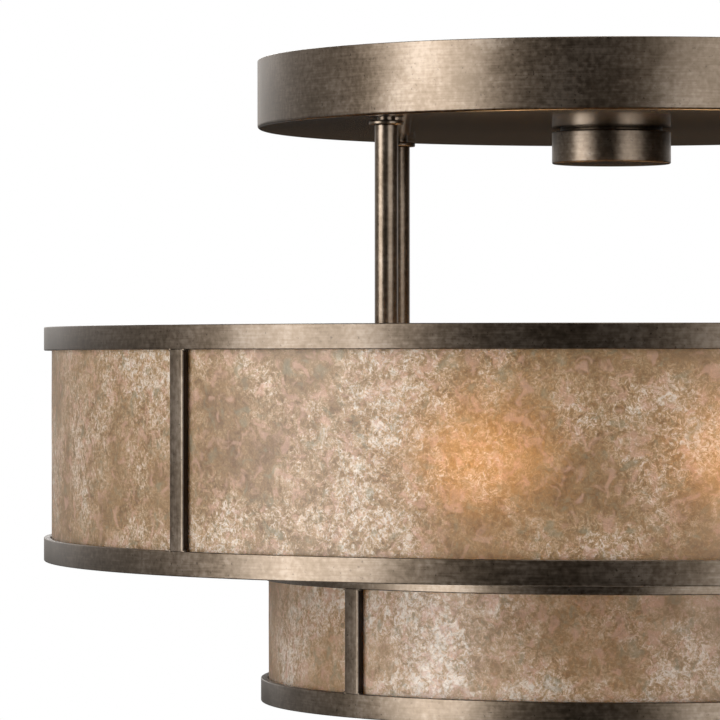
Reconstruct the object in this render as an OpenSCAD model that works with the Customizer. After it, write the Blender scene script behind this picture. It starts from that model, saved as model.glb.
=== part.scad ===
// Two-tier semi flush ceiling light. Flat bronze rings and upright bars hold curved
// mica panels in two stacked drums. Four rods hang the drums from a round canopy,
// which a large knob clamps to the ceiling. Lamps lie level on a cluster inside.
// Millimetres, +Z up, origin on the ceiling at the centre of the outlet box.

/* [Upper drum] */
// Outside diameter of the upper drum
drum_d = 711; // [600:1:900]
// Height of the upper drum over its rings
drum_h = 145; // [125:0.5:220]

/* [Lower drum] */
// Outside diameter of the lower drum
tier_d = 440; // [400:1:560]
// How far the lower drum hangs below the upper one
tier_drop = 88.5; // [70:0.5:160]

/* [Rings, bars and panels] */
// Height of each rolled ring
ring_h = 14.5; // [12:0.5:24]
// Thickness of the rings and bars
ring_t = 4.4; // [3:0.1:7]
// Width of each upright bar
bar_w = 12; // [8:0.5:24]
// Turn of the upright bars from the light's diagonals, in degrees
bar_turn = 0.3; // [-5:0.1:5]
// Thickness of the mica panels
panel_t = 1.6; // [1:0.1:3]
// Thickness of the bottom diffuser
diffuser_t = 2; // [1.5:0.1:4]
// Thickness of the plate between the drums
plate_t = 2; // [1.5:0.1:4]

/* [Canopy] */
// Outside diameter of the canopy
canopy_d = 444.5; // [430:0.5:600]
// Height of the canopy
canopy_h = 42.5; // [38:0.5:70]
// Thickness of the canopy sheet
canopy_t = 1.2; // [0.8:0.1:2]

/* [Hanger] */
// Clear gap between the canopy and the upper drum
hang_gap = 124.5; // [70:0.5:300]
// Diameter of each hanging rod
rod_d = 14; // [12:0.5:20]
// Distance from the edge of the canopy in to the axis of each rod
rod_inset = 28.25; // [20:0.25:60]
// Turn of the rods and arms from the upright bars, in degrees
hanger_turn = 0.8; // [-5:0.1:5]
// Width of each spider arm
arm_w = 20; // [18:0.5:30]
// Thickness of each spider arm
arm_t = 4; // [3:0.1:6]

/* [Knob] */
// Diameter of the canopy knob
knob_d = 74.6; // [50:0.1:120]
// Height of the canopy knob
knob_h = 20; // [16:0.5:32]

/* [Lamps] */
// Depth of the lamp axes below the top of the upper drum
lamp_drop = 80; // [74:0.5:86]
// Diameter of each lamp
lamp_d = 60; // [45:0.5:66]
// Length of the glass of each lamp
glass_len = 84; // [70:0.5:110]
// Diameter of the cluster that carries the lamp holders
cluster_d = 68; // [58:0.5:80]

/* [Hidden] */
$fn = 96;
ring_fn = 180;
quarters = 4;
quarter = 360 / quarters;
first_bar = quarter / 2;
over = 1;
edge_ease = 0.5;

// Clearances
panel_gap = 0.3;
weld_gap = 0.1;
thread_gap = 0.05;
hole_gap = 0.25;

// Lamp pipe thread of the nipple, the stem, the rod ends and the holder necks, drawn
// smooth at its mean diameter, and the nuts on it. 27 threads to the inch.
thread_d = 9.8;
thread_bore_d = 6;
nut_across_flats = 17;
nut_h = 5;
nut_corner_r = nut_across_flats / 2 / cos(180 / 6);

// Levels, measured down from the ceiling
drum_top_z = -(canopy_h + hang_gap);
drum_bottom_z = drum_top_z - drum_h;
tier_bottom_z = drum_bottom_z - tier_drop;
plate_rise = 2.7;
plate_under_z = drum_bottom_z + plate_rise;
plate_top_z = plate_under_z + plate_t;

// Rings and panels of both drums
drum_r = drum_d / 2;
tier_r = tier_d / 2;
drum_in_r = drum_r - ring_t;
tier_in_r = tier_r - ring_t;
drum_panel_r = drum_in_r - panel_gap;
tier_panel_r = tier_in_r - panel_gap;
panel_joint = 1;

// Spider arms and hub
arm_sink = 1;
arm_top_z = drum_top_z - arm_sink;
arm_under_z = arm_top_z - arm_t;
arm_inner_r = 10;
hub_d = 80;
hub_t = 3;
hub_under_z = arm_under_z - hub_t;
hub_screw_circle_r = 27;
hub_screw_d = 5;
hub_screw_head_d = 9;
hub_screw_head_h = 3;

// Clips that hold the panels
clip_t = 0.8;
clip_w = 10;
clip_reach = 8;
clip_foot = 7;
clip_angle = 24;
panel_headroom = 0.5;
drum_panel_top_z = arm_under_z - panel_headroom;
lug_t = 2;
lug_w = 18;
lug_reach = 17;
lug_leg = 5.5;
tier_panel_top_z = plate_under_z - lug_leg - panel_headroom;

// Ledge and bottom diffuser
ledge_t = 1.5;
ledge_rise = 1.5;
ledge_under_z = tier_bottom_z + ledge_rise;
ledge_top_z = ledge_under_z + ledge_t;
ledge_lap = 8.5;
diffuser_gap = 0.6;
ledge_tab_r = tier_panel_r - panel_t - panel_gap;
diffuser_r = ledge_tab_r - clip_t - diffuser_gap;
ledge_in_r = diffuser_r - ledge_lap;

// Plate between the drums, and the screws that carry the lower drum
plate_in_r = tier_in_r - lug_reach;
tier_screw_r = tier_in_r - lug_reach / 2;
tier_screw_d = 4;
tier_screw_head_d = 8;
tier_screw_head_h = 2.4;
tier_screw_tip = 1;

// Canopy pan
canopy_r = canopy_d / 2;
canopy_corner = 2;
canopy_corner_steps = 5;
rim_lip = 3.5;

// Rods, collars and nuts
rod_r = canopy_r - rod_inset;
collar_d = 21;
collar_h = 2.6;
collar_neck_d = 16;
collar_neck_h = 1.6;
washer_d = 21;
washer_t = 1.5;
thread_stick_out = 2.5;
rod_body_top_z = -canopy_h - collar_neck_h - collar_h;
rod_top_z = -canopy_h + canopy_t + washer_t + nut_h + thread_stick_out;
rod_bottom_z = arm_under_z - washer_t - nut_h - thread_stick_out;

// Mounting bracket, nipple, knob and its washer
bracket_len = 112;
bracket_w = 22;
bracket_t = 2.5;
slot_pitch = 79.4;
slot_len = 14.4;
slot_w = 4.8;
ground_screw_x = 22;
ground_screw_d = 4;
ground_screw_head_d = 9;
ground_screw_head_h = 2.4;
knob_washer_d = 64;
knob_washer_t = 1.8;
knob_wall = 2;
knob_floor = 3;
knob_boss_d = 20;
knob_ease = 0.8;
nipple_grip = 12;
nipple_bottom_z = -canopy_h - knob_washer_t - nipple_grip;
knob_top_z = -canopy_h - knob_washer_t;
knob_bottom_z = knob_top_z - knob_h;

// Cluster, its stem, and the lamp holders
lamp_z = drum_top_z - lamp_drop;
cluster_h = 44;
cluster_wall = 1.5;
cover_t = 1.5;
cover_top_z = lamp_z + cluster_h / 2 + cover_t;
lead_hole_d = 8;
lead_hole_r = 20;
grommet_lip = 1.5;
grommet_t = 1.2;
holder_d = 37;
holder_len = 36;
holder_mouth_d = 33;
holder_seat = 0.4;
holder_bore_d = 26.6;
holder_bore_len = 25;
holder_neck_len = 10;
holder_nut_gap = 0.2;
holder_nut_r = sqrt(pow(cluster_d / 2 - cluster_wall, 2) - pow(nut_corner_r, 2)) - holder_nut_gap;

// Lamp cap and glass, measured along the lamp from its tip
cap_d = 26.2;
cap_len = 21;
cap_wall = 0.5;
cap_tip_d = 9;
cap_tip_len = 3;
cap_seat = 0.8;
glass_wall = 0.9;
glass_steps = 28;
glass_neck_d = 24.8;
glass_tuck = 6;
cap_start_r = cluster_d / 2 + holder_seat + holder_len - holder_bore_len + cap_seat;
glass_start_r = cap_start_r + cap_tip_len + cap_len - glass_tuck;

// Three leads that run from the canopy down one rod, along an arm and into the cluster
lead_d = 2.2;
lead_sides = 8;
lead_spread = 1.5;
lead_gap = 0.3;
lead_bend_r = 9;
lead_bend_steps = 6;
lead_step = 2 * lead_bend_r + lead_d;
lead_rod = 2;
lead_rise = 12;
lead_sag = 11;
lead_tail = 8;
lead_loop_z = rod_bottom_z - lead_sag;
lead_bundle_r = lead_spread + lead_d / 2;
lead_tied_z = arm_under_z - lead_gap - lead_bundle_r;
lead_start_back = 66;
tie_t = 1;
tie_w = 4;
tie_count = 3;
tie_start_r = rod_r - lead_step;
tie_pitch = (tie_start_r - hub_d / 2 - lead_bend_r) / tie_count;
wire_nut_pitch = 16;
wire_nut_d = 12;
wire_nut_tip_d = 6;
wire_nut_len = 22;
wire_nut_z = -canopy_h + canopy_t + wire_nut_d / 2 + panel_gap;

bronze = "#5b4a39";
dark_bronze = "#3a2e22";
mica = "#b59a7c";
steel = "#9a9a96";
brass = "#b3924f";

// Angle of bar number i, and of rod, arm and lamp number i, from +X
function bar_angle(i) = first_bar + bar_turn + quarter * i;
function arm_angle(i) = bar_angle(i) + hanger_turn;
function smooth(t) = t * t * (3 - 2 * t);

// A ring between two radii and two levels, with eased edges
module eased_ring(inner_r, outer_r, low_z, high_z, ease) {
    rotate_extrude($fn = ring_fn)
        polygon([
            [inner_r, low_z + ease], [inner_r + ease, low_z],
            [outer_r - ease, low_z], [outer_r, low_z + ease],
            [outer_r, high_z - ease], [outer_r - ease, high_z],
            [inner_r + ease, high_z], [inner_r, high_z - ease]
        ]);
}

// A plain tube standing from low_z to high_z
module tube(outer_d, inner_d, low_z, high_z) {
    translate([0, 0, low_z])
        difference() {
            cylinder(d = outer_d, h = high_z - low_z);
            translate([0, 0, -over])
                cylinder(d = inner_d, h = high_z - low_z + 2 * over);
        }
}

// A hex nut on the pipe thread with its lower face at low_z
module nut(low_z) {
    translate([0, 0, low_z])
        difference() {
            cylinder(r = nut_corner_r, h = nut_h, $fn = 6);
            translate([0, 0, -over])
                cylinder(d = thread_d + 2 * thread_gap, h = nut_h + 2 * over);
        }
}

// Children placed on the rod circle at rod number i
module at_rod(i) {
    rotate(arm_angle(i))
        translate([rod_r, 0, 0])
            children();
}

// Canopy: a spun pan, open at the ceiling, with a turned-in rim
module canopy_pan() {
    outer = [
        for (k = [0 : canopy_corner_steps])
            let (a = -90 + 90 * k / canopy_corner_steps)
                [canopy_r - canopy_corner + canopy_corner * cos(a),
                 -canopy_h + canopy_corner + canopy_corner * sin(a)]
    ];
    in_corner = canopy_corner - canopy_t / 2;
    inner = [
        for (k = [canopy_corner_steps : -1 : 0])
            let (a = -90 + 90 * k / canopy_corner_steps)
                [canopy_r - canopy_t - in_corner + in_corner * cos(a),
                 -canopy_h + canopy_t + in_corner + in_corner * sin(a)]
    ];
    color(bronze)
        difference() {
            rotate_extrude($fn = ring_fn)
                polygon(concat(
                    [[0, -canopy_h]], outer,
                    [[canopy_r, 0], [canopy_r - rim_lip, 0], [canopy_r - rim_lip, -canopy_t],
                     [canopy_r - canopy_t, -canopy_t]],
                    inner, [[0, -canopy_h + canopy_t]]
                ));
            translate([0, 0, -canopy_h - over])
                cylinder(d = thread_d + 2 * hole_gap, h = canopy_t + 2 * over);
            for (i = [0 : quarters - 1])
                at_rod(i)
                    translate([0, 0, -canopy_h - over])
                        cylinder(d = thread_d + 2 * hole_gap, h = canopy_t + 2 * over);
        }
}

// Bracket: a flat strap that the outlet box screws hold through two slots
module mounting_bracket() {
    color(steel)
        translate([0, 0, -bracket_t])
            difference() {
                linear_extrude(bracket_t)
                    difference() {
                        union() {
                            square([bracket_len - bracket_w, bracket_w], center = true);
                            for (s = [-1, 1])
                                translate([s * (bracket_len - bracket_w) / 2, 0])
                                    circle(d = bracket_w);
                        }
                        for (s = [-1, 1])
                            translate([s * slot_pitch / 2, 0]) {
                                square([slot_len - slot_w, slot_w], center = true);
                                for (t = [-1, 1])
                                    translate([t * (slot_len - slot_w) / 2, 0])
                                        circle(d = slot_w);
                            }
                    }
                translate([0, 0, -over])
                    cylinder(d = thread_d + 2 * thread_gap, h = bracket_t + 2 * over);
                translate([ground_screw_x, 0, -over])
                    cylinder(d = ground_screw_d + 2 * thread_gap, h = bracket_t + 2 * over);
            }
}

module ground_screw() {
    color("green")
        translate([ground_screw_x, 0, -bracket_t - ground_screw_head_h]) {
            cylinder(d = ground_screw_head_d, h = ground_screw_head_h);
            cylinder(d = ground_screw_d, h = ground_screw_head_h + bracket_t);
        }
}

// Nipple: hangs from the bracket through the canopy into the knob
module centre_nipple() {
    color(steel)
        tube(thread_d, thread_bore_d, nipple_bottom_z, 0);
}

module knob_washer() {
    color(dark_bronze)
        tube(knob_washer_d, thread_d + 2 * hole_gap, knob_top_z, -canopy_h);
}

// Knob: a turned cup with a threaded boss, closed and flat below
module canopy_knob() {
    knob_r = knob_d / 2;
    boss_r = knob_boss_d / 2;
    bore_r = thread_d / 2 + thread_gap;
    color(bronze)
        rotate_extrude()
            polygon([
                [0, knob_bottom_z],
                [knob_r - knob_ease, knob_bottom_z], [knob_r, knob_bottom_z + knob_ease],
                [knob_r, knob_top_z - knob_ease], [knob_r - knob_ease, knob_top_z],
                [knob_r - knob_wall, knob_top_z],
                [knob_r - knob_wall, knob_bottom_z + knob_floor],
                [boss_r, knob_bottom_z + knob_floor], [boss_r, knob_top_z],
                [bore_r, knob_top_z], [bore_r, knob_bottom_z + knob_floor],
                [0, knob_bottom_z + knob_floor]
            ]);
}

// Rod: a tube whose threaded ends pass through the canopy and a spider arm
module hanger_rod(i) {
    color(bronze)
        at_rod(i)
            difference() {
                union() {
                    translate([0, 0, arm_top_z])
                        cylinder(d = rod_d, h = rod_body_top_z - arm_top_z);
                    translate([0, 0, rod_bottom_z])
                        cylinder(d = thread_d, h = rod_top_z - rod_bottom_z);
                }
                translate([0, 0, rod_bottom_z - over])
                    cylinder(d = thread_bore_d, h = rod_top_z - rod_bottom_z + 2 * over);
            }
}

module rod_collars() {
    color(bronze)
        for (i = [0 : quarters - 1])
            at_rod(i)
                difference() {
                    union() {
                        translate([0, 0, rod_body_top_z])
                            cylinder(d = collar_d, h = collar_h);
                        translate([0, 0, rod_body_top_z])
                            cylinder(d = collar_neck_d, h = collar_h + collar_neck_h);
                    }
                    translate([0, 0, rod_body_top_z - over])
                        cylinder(d = thread_d + 2 * hole_gap,
                                 h = collar_h + collar_neck_h + 2 * over);
                }
}

module rod_washers() {
    inside_z = -canopy_h + canopy_t;
    color(steel)
        for (i = [0 : quarters - 1])
            at_rod(i) {
                tube(washer_d, thread_d + 2 * hole_gap, inside_z, inside_z + washer_t);
                tube(washer_d, thread_d + 2 * hole_gap, arm_under_z - washer_t, arm_under_z);
            }
}

// Every nut on the pipe thread: on the rods, the nipple, the stem and the holder necks
module thread_nuts() {
    color(steel) {
        for (i = [0 : quarters - 1]) {
            at_rod(i) {
                nut(-canopy_h + canopy_t + washer_t);
                nut(arm_under_z - washer_t - nut_h);
            }
            along_lamp(i)
                nut(holder_nut_r - nut_h);
        }
        nut(-bracket_t - nut_h);
        nut(arm_under_z);
        nut(hub_under_z - nut_h);
        nut(cover_top_z);
        nut(cover_top_z - cover_t - nut_h);
    }
}

// Arm: a flat bar from the hub to the inside of the upper top ring
module spider_arm(i) {
    outer_r = sqrt(pow(drum_in_r - weld_gap, 2) - pow(arm_w / 2, 2));
    color(dark_bronze)
        rotate(arm_angle(i))
            translate([0, 0, arm_under_z])
                difference() {
                    translate([arm_inner_r, -arm_w / 2, 0])
                        cube([outer_r - arm_inner_r, arm_w, arm_t]);
                    translate([rod_r, 0, -over])
                        cylinder(d = thread_d + 2 * hole_gap, h = arm_t + 2 * over);
                    translate([hub_screw_circle_r, 0, -over])
                        cylinder(d = hub_screw_d + 2 * hole_gap, h = arm_t + 2 * over);
                    translate([0, 0, -over])
                        cylinder(r = nut_corner_r + over, h = arm_t + 2 * over);
                    // Mitred sides, so that the four arms meet round the stem
                    for (s = [-1, 1])
                        rotate(s * first_bar)
                            translate([0, s > 0 ? weld_gap : -weld_gap - hub_d, -over])
                                cube([hub_d, hub_d, arm_t + 2 * over]);
                }
}

module spider_hub() {
    color(dark_bronze)
        difference() {
            translate([0, 0, hub_under_z])
                cylinder(d = hub_d, h = hub_t);
            translate([0, 0, hub_under_z - over])
                cylinder(d = thread_d + 2 * hole_gap, h = hub_t + 2 * over);
            for (i = [0 : quarters - 1])
                rotate(arm_angle(i))
                    translate([hub_screw_circle_r, 0, hub_under_z - over])
                        cylinder(d = hub_screw_d + 2 * thread_gap, h = hub_t + 2 * over);
        }
}

module hub_screws() {
    color(steel)
        for (i = [0 : quarters - 1])
            rotate(arm_angle(i))
                translate([hub_screw_circle_r, 0, 0]) {
                    translate([0, 0, arm_top_z])
                        cylinder(d = hub_screw_head_d, h = hub_screw_head_h);
                    translate([0, 0, hub_under_z])
                        cylinder(d = hub_screw_d, h = arm_top_z - hub_under_z + hub_screw_head_h);
                }
}

// Stem: a threaded tube from the hub down into the cluster
stem_top_z = arm_under_z + nut_h + thread_stick_out;
stem_bottom_z = cover_top_z - cover_t - nut_h - thread_stick_out;

module cluster_stem() {
    color(brass)
        tube(thread_d, thread_bore_d, stem_bottom_z, stem_top_z);
}

// Cluster: a cup with four side holes for the necks of the lamp holders
module cluster_body() {
    floor_z = lamp_z - cluster_h / 2;
    color(brass)
        difference() {
            translate([0, 0, floor_z])
                cylinder(d = cluster_d, h = cluster_h);
            translate([0, 0, floor_z + cluster_wall])
                cylinder(d = cluster_d - 2 * cluster_wall, h = cluster_h);
            for (i = [0 : quarters - 1])
                rotate(arm_angle(i))
                    translate([cluster_d / 2 - cluster_wall - over, 0, lamp_z])
                        rotate([0, 90, 0])
                            cylinder(d = thread_d + 2 * hole_gap, h = cluster_wall + 2 * over);
        }
}

module cluster_cover() {
    color(brass)
        translate([0, 0, cover_top_z - cover_t])
            difference() {
                cylinder(d = cluster_d, h = cover_t);
                translate([0, 0, -over])
                    cylinder(d = thread_d + 2 * hole_gap, h = cover_t + 2 * over);
                rotate(arm_angle(lead_rod))
                    translate([lead_hole_r, 0, -over])
                        cylinder(d = lead_hole_d + 2 * grommet_t, h = cover_t + 2 * over);
            }
}

// Grommet: lines the lead hole of the cover
module cover_grommet() {
    color("black")
        rotate(arm_angle(lead_rod))
            translate([lead_hole_r, 0, 0])
                difference() {
                    union() {
                        translate([0, 0, cover_top_z - cover_t])
                            cylinder(d = lead_hole_d + 2 * grommet_t - 2 * thread_gap,
                                     h = cover_t + grommet_t);
                        translate([0, 0, cover_top_z])
                            cylinder(d = lead_hole_d + 2 * grommet_t + 2 * grommet_lip, h = grommet_t);
                    }
                    translate([0, 0, cover_top_z - cover_t - over])
                        cylinder(d = lead_hole_d, h = cover_t + grommet_t + 2 * over);
                }
}

// Children laid along the axis of lamp number i, with +Z pointing out of the cluster
module along_lamp(i) {
    rotate(arm_angle(i))
        translate([0, 0, lamp_z])
            rotate([0, 90, 0])
                children();
}

module lamp_holder(i) {
    back_r = cluster_d / 2 + holder_seat;
    color("ivory")
        along_lamp(i)
            difference() {
                union() {
                    translate([0, 0, back_r])
                        cylinder(d = holder_d, h = holder_len * 2 / 3);
                    translate([0, 0, back_r])
                        cylinder(d = holder_mouth_d, h = holder_len);
                    translate([0, 0, back_r - holder_neck_len])
                        cylinder(d = thread_d, h = holder_neck_len + over);
                }
                translate([0, 0, back_r + holder_len - holder_bore_len])
                    cylinder(d = holder_bore_d, h = holder_bore_len + over);
                translate([0, 0, back_r - holder_neck_len - over])
                    cylinder(d = thread_bore_d, h = holder_len);
            }
}

// Cap: a drawn shell with a small contact at its tip
module lamp_cap(i) {
    cap_r = cap_d / 2;
    tip_r = cap_tip_d / 2;
    color(brass)
        along_lamp(i)
            translate([0, 0, cap_start_r])
                rotate_extrude()
                    polygon([
                        [0, 0], [tip_r, 0], [tip_r, cap_tip_len],
                        [cap_r, cap_tip_len], [cap_r, cap_tip_len + cap_len],
                        [cap_r - cap_wall, cap_tip_len + cap_len],
                        [cap_r - cap_wall, cap_tip_len + cap_wall],
                        [0, cap_tip_len + cap_wall]
                    ]);
}

// Glass: a neck that swells to a round end, as radius against distance along the lamp
function glass_r(x, neck_r, bulb_r, round_x) =
    x < round_x
        ? neck_r + (bulb_r - neck_r) * smooth(max(0, x - glass_tuck) / (round_x - glass_tuck))
        : sqrt(max(0, bulb_r * bulb_r - (x - round_x) * (x - round_x)));

function glass_profile(neck_r, bulb_r, round_x) = concat(
    [for (k = [0 : glass_steps])
        let (x = round_x * k / glass_steps)
            [glass_r(x, neck_r, bulb_r, round_x), x]],
    [for (k = [1 : glass_steps])
        let (a = 90 * k / glass_steps)
            [bulb_r * cos(a), round_x + bulb_r * sin(a)]]
);

module lamp_glass(i) {
    bulb_r = lamp_d / 2;
    neck_r = glass_neck_d / 2;
    round_x = glass_len + glass_tuck - bulb_r;
    outer = glass_profile(neck_r, bulb_r, round_x);
    inner = glass_profile(neck_r - glass_wall, bulb_r - glass_wall, round_x);
    color("lightyellow")
        along_lamp(i)
            translate([0, 0, glass_start_r])
                rotate_extrude()
                    polygon(concat(outer, [for (k = [len(inner) - 1 : -1 : 0]) inner[k]]));
}

// Upright bars between a pair of rings, flush with their outsides
module bars(outer_r, low_z, high_z) {
    color(bronze)
        for (i = [0 : quarters - 1])
            rotate(bar_angle(i))
                translate([0, 0, low_z])
                    linear_extrude(high_z - low_z)
                        polygon([
                            [outer_r - ring_t, -bar_w / 2], [outer_r - edge_ease, -bar_w / 2],
                            [outer_r, -bar_w / 2 + edge_ease], [outer_r, bar_w / 2 - edge_ease],
                            [outer_r - edge_ease, bar_w / 2], [outer_r - ring_t, bar_w / 2]
                        ]);
}

// A curved panel that fills the quarter after bar number i, meeting its neighbours behind the bars
module panel(i, outer_r, low_z, high_z) {
    joint_angle = asin(panel_joint / 2 / outer_r);
    color(mica)
        rotate(bar_angle(i) + joint_angle)
            rotate_extrude(angle = quarter - 2 * joint_angle, $fn = ring_fn)
                translate([outer_r - panel_t, low_z])
                    square([panel_t, high_z - low_z]);
}

// Children repeated at both clip places of every quarter
module at_clips() {
    for (i = [0 : quarters - 1])
        for (s = [-1, 1])
            rotate(bar_angle(i) + quarter / 2 + s * clip_angle)
                children();
}

// An outline in radius and height, as a flat clip across the radius
module clip(points) {
    translate([0, clip_w / 2, 0])
        rotate([90, 0, 0])
            linear_extrude(clip_w)
                polygon(points);
}

// Clips of the upper drum: hooked over the panels above, standing on the plate below
module upper_panel_clips() {
    in_r = drum_panel_r - panel_t - panel_gap;
    ring_face_r = sqrt(pow(drum_in_r - weld_gap, 2) - pow(clip_w / 2, 2));
    fold_z = drum_panel_top_z + panel_gap;
    color(steel)
        at_clips() {
            clip([
                [ring_face_r, arm_top_z], [ring_face_r - clip_t, arm_top_z],
                [ring_face_r - clip_t, fold_z + clip_t], [in_r - clip_t, fold_z + clip_t],
                [in_r - clip_t, drum_panel_top_z - clip_reach], [in_r, drum_panel_top_z - clip_reach],
                [in_r, fold_z], [ring_face_r, fold_z]
            ]);
            clip([
                [in_r, plate_top_z], [in_r, plate_top_z + clip_reach],
                [in_r - clip_t, plate_top_z + clip_reach], [in_r - clip_t, plate_top_z + clip_t],
                [in_r - clip_foot, plate_top_z + clip_t], [in_r - clip_foot, plate_top_z]
            ]);
        }
}

// Clips of the lower drum: hung from the plate behind the panels
module tier_panel_clips() {
    in_r = ledge_tab_r;
    low_z = tier_panel_top_z - clip_reach;
    color(steel)
        at_clips()
            clip([
                [in_r, plate_under_z], [in_r, low_z], [in_r - clip_t, low_z],
                [in_r - clip_t, plate_under_z - clip_t], [in_r - clip_foot, plate_under_z - clip_t],
                [in_r - clip_foot, plate_under_z]
            ]);
}

// Plate: closes the step between the drums
module step_plate() {
    color(dark_bronze)
        difference() {
            tube(2 * (drum_in_r - weld_gap), 2 * plate_in_r, plate_under_z, plate_top_z, $fn = ring_fn);
            for (i = [0 : quarters - 1])
                rotate(quarter * i)
                    translate([tier_screw_r, 0, plate_under_z - over])
                        cylinder(d = tier_screw_d + 2 * hole_gap, h = plate_t + 2 * over);
        }
}

// Lower drum's top ring, with four welded lugs that take its screws
module tier_top_ring() {
    color(bronze) {
        difference() {
            union() {
                eased_ring(tier_in_r, tier_r, plate_under_z - ring_h, plate_under_z, edge_ease);
                for (i = [0 : quarters - 1])
                    rotate(quarter * i) {
                        translate([plate_in_r, -lug_w / 2, plate_under_z - lug_t])
                            cube([lug_reach + ring_t / 2, lug_w, lug_t]);
                        translate([tier_in_r - lug_t, -lug_w / 2, plate_under_z - lug_leg])
                            cube([lug_t + ring_t / 2, lug_w, lug_leg]);
                    }
            }
            for (i = [0 : quarters - 1])
                rotate(quarter * i)
                    translate([tier_screw_r, 0, plate_under_z - lug_t - over])
                        cylinder(d = tier_screw_d + 2 * thread_gap, h = lug_t + 2 * over);
        }
    }
}

module tier_screws() {
    low_z = plate_under_z - lug_t - tier_screw_tip;
    color(steel)
        for (i = [0 : quarters - 1])
            rotate(quarter * i)
                translate([tier_screw_r, 0, 0]) {
                    translate([0, 0, low_z])
                        cylinder(d = tier_screw_d, h = plate_top_z - low_z + tier_screw_head_h);
                    translate([0, 0, plate_top_z])
                        cylinder(d = tier_screw_head_d, h = tier_screw_head_h);
                }
}

// Ledge: a flat ring inside the lower bottom ring, with tabs bent up behind the panels
module diffuser_ledge() {
    color(dark_bronze) {
        tube(2 * (tier_in_r - weld_gap), 2 * ledge_in_r, ledge_under_z, ledge_top_z, $fn = ring_fn);
        at_clips()
            translate([ledge_tab_r - clip_t, -clip_w / 2, ledge_under_z])
                cube([clip_t, clip_w, ledge_t + clip_reach]);
    }
}

module bottom_diffuser() {
    color(mica)
        translate([0, 0, ledge_top_z])
            cylinder(r = diffuser_r, h = diffuser_t, $fn = ring_fn);
}

// Wire nuts: a plastic cone over the end of each lead
module wire_nuts() {
    color("orange")
        rotate(arm_angle(lead_rod))
            for (k = [-1 : 1])
                translate([rod_r - lead_start_back, k * wire_nut_pitch, wire_nut_z])
                    rotate([0, -90, 0])
                        cylinder(d1 = wire_nut_d, d2 = wire_nut_tip_d, h = wire_nut_len);
}

// Route of the leads, as radius and height in the plane of their rod
lead_corners = [
    [rod_r - lead_start_back, wire_nut_z],
    [rod_r - lead_start_back + lead_step, wire_nut_z],
    [rod_r - lead_step, rod_top_z + lead_rise],
    [rod_r, rod_top_z + lead_rise],
    [rod_r, lead_loop_z],
    [rod_r - lead_step, lead_loop_z],
    [rod_r - lead_step, lead_tied_z],
    [hub_d / 2 + lead_bend_r, lead_tied_z],
    [lead_hole_r, cover_top_z + lead_step],
    [lead_hole_r, cover_top_z - cover_t - lead_tail]
];

function unit(v) = v / norm(v);

// A polyline with each inner corner turned on an arc of radius r
function rounded(p, r, steps) = concat(
    [p[0]],
    [for (k = [1 : len(p) - 2])
        let (
            back = unit(p[k - 1] - p[k]),
            ahead = unit(p[k + 1] - p[k]),
            half = acos(back * ahead) / 2,
            centre = p[k] + unit(back + ahead) * r / sin(half),
            from = p[k] + back * r / tan(half) - centre,
            to = p[k] + ahead * r / tan(half) - centre
        )
        for (j = [0 : steps])
            let (d = unit(from * (1 - j / steps) + to * (j / steps)))
                centre + d * r],
    [p[len(p) - 1]]
);

lead_route = rounded(lead_corners, lead_bend_r, lead_bend_steps);
// The leads fan out to their wire nuts over the route's first points
lead_fan_points = 2 * (lead_bend_steps + 1);

module lead(k) {
    side = 270 + 120 * k;
    count = len(lead_route);
    along = [for (j = [0 : count - 1])
        unit(lead_route[min(j + 1, count - 1)] - lead_route[max(j - 1, 0)])];
    centres = [for (j = [0 : count - 1])
        let (
            fan = smooth(max(0, 1 - j / lead_fan_points)),
            across = [-along[j][1], along[j][0]],
            out = lead_spread * sin(side) * (1 - fan),
            p = lead_route[j] + across * out
        )
        [p[0], lead_spread * cos(side) * (1 - fan) + k * wire_nut_pitch * fan, p[1]]];
    points = [for (j = [0 : count - 1])
        for (m = [0 : lead_sides - 1])
            let (
                a = 360 * m / lead_sides,
                across = [-along[j][1], 0, along[j][0]]
            )
            centres[j] + lead_d / 2 * (cos(a) * across + sin(a) * [0, 1, 0])];
    sides = [for (j = [0 : count - 2])
        for (m = [0 : lead_sides - 1])
            let (
                a = j * lead_sides + m,
                b = j * lead_sides + (m + 1) % lead_sides
            )
            for (face = [[a, b, b + lead_sides], [a, b + lead_sides, a + lead_sides]])
                face];
    start = [[for (m = [lead_sides - 1 : -1 : 0]) m]];
    finish = [[for (m = [0 : lead_sides - 1]) (count - 1) * lead_sides + m]];
    rotate(arm_angle(lead_rod))
        polyhedron(points, concat(sides, start, finish));
}

// Ties: bands round the arm and the leads under it
module lead_ties() {
    color("black")
        rotate(arm_angle(lead_rod))
            for (k = [1 : tie_count])
                translate([tie_start_r - (k - 1 / 2) * tie_pitch, 0, 0])
                    rotate([90, 0, 90])
                        linear_extrude(tie_w, center = true)
                            difference() {
                                tie_outline(lead_gap + tie_t);
                                tie_outline(lead_gap);
                            }
}

// Section of the arm and the leads under it, grown all round
module tie_outline(grow) {
    side = arm_w / 2 + grow;
    foot = lead_bundle_r + grow;
    polygon([
        [-side, arm_top_z + grow], [-side, arm_under_z - grow / 2],
        [-foot, lead_tied_z - foot], [foot, lead_tied_z - foot],
        [side, arm_under_z - grow / 2], [side, arm_top_z + grow]
    ]);
}

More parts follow.
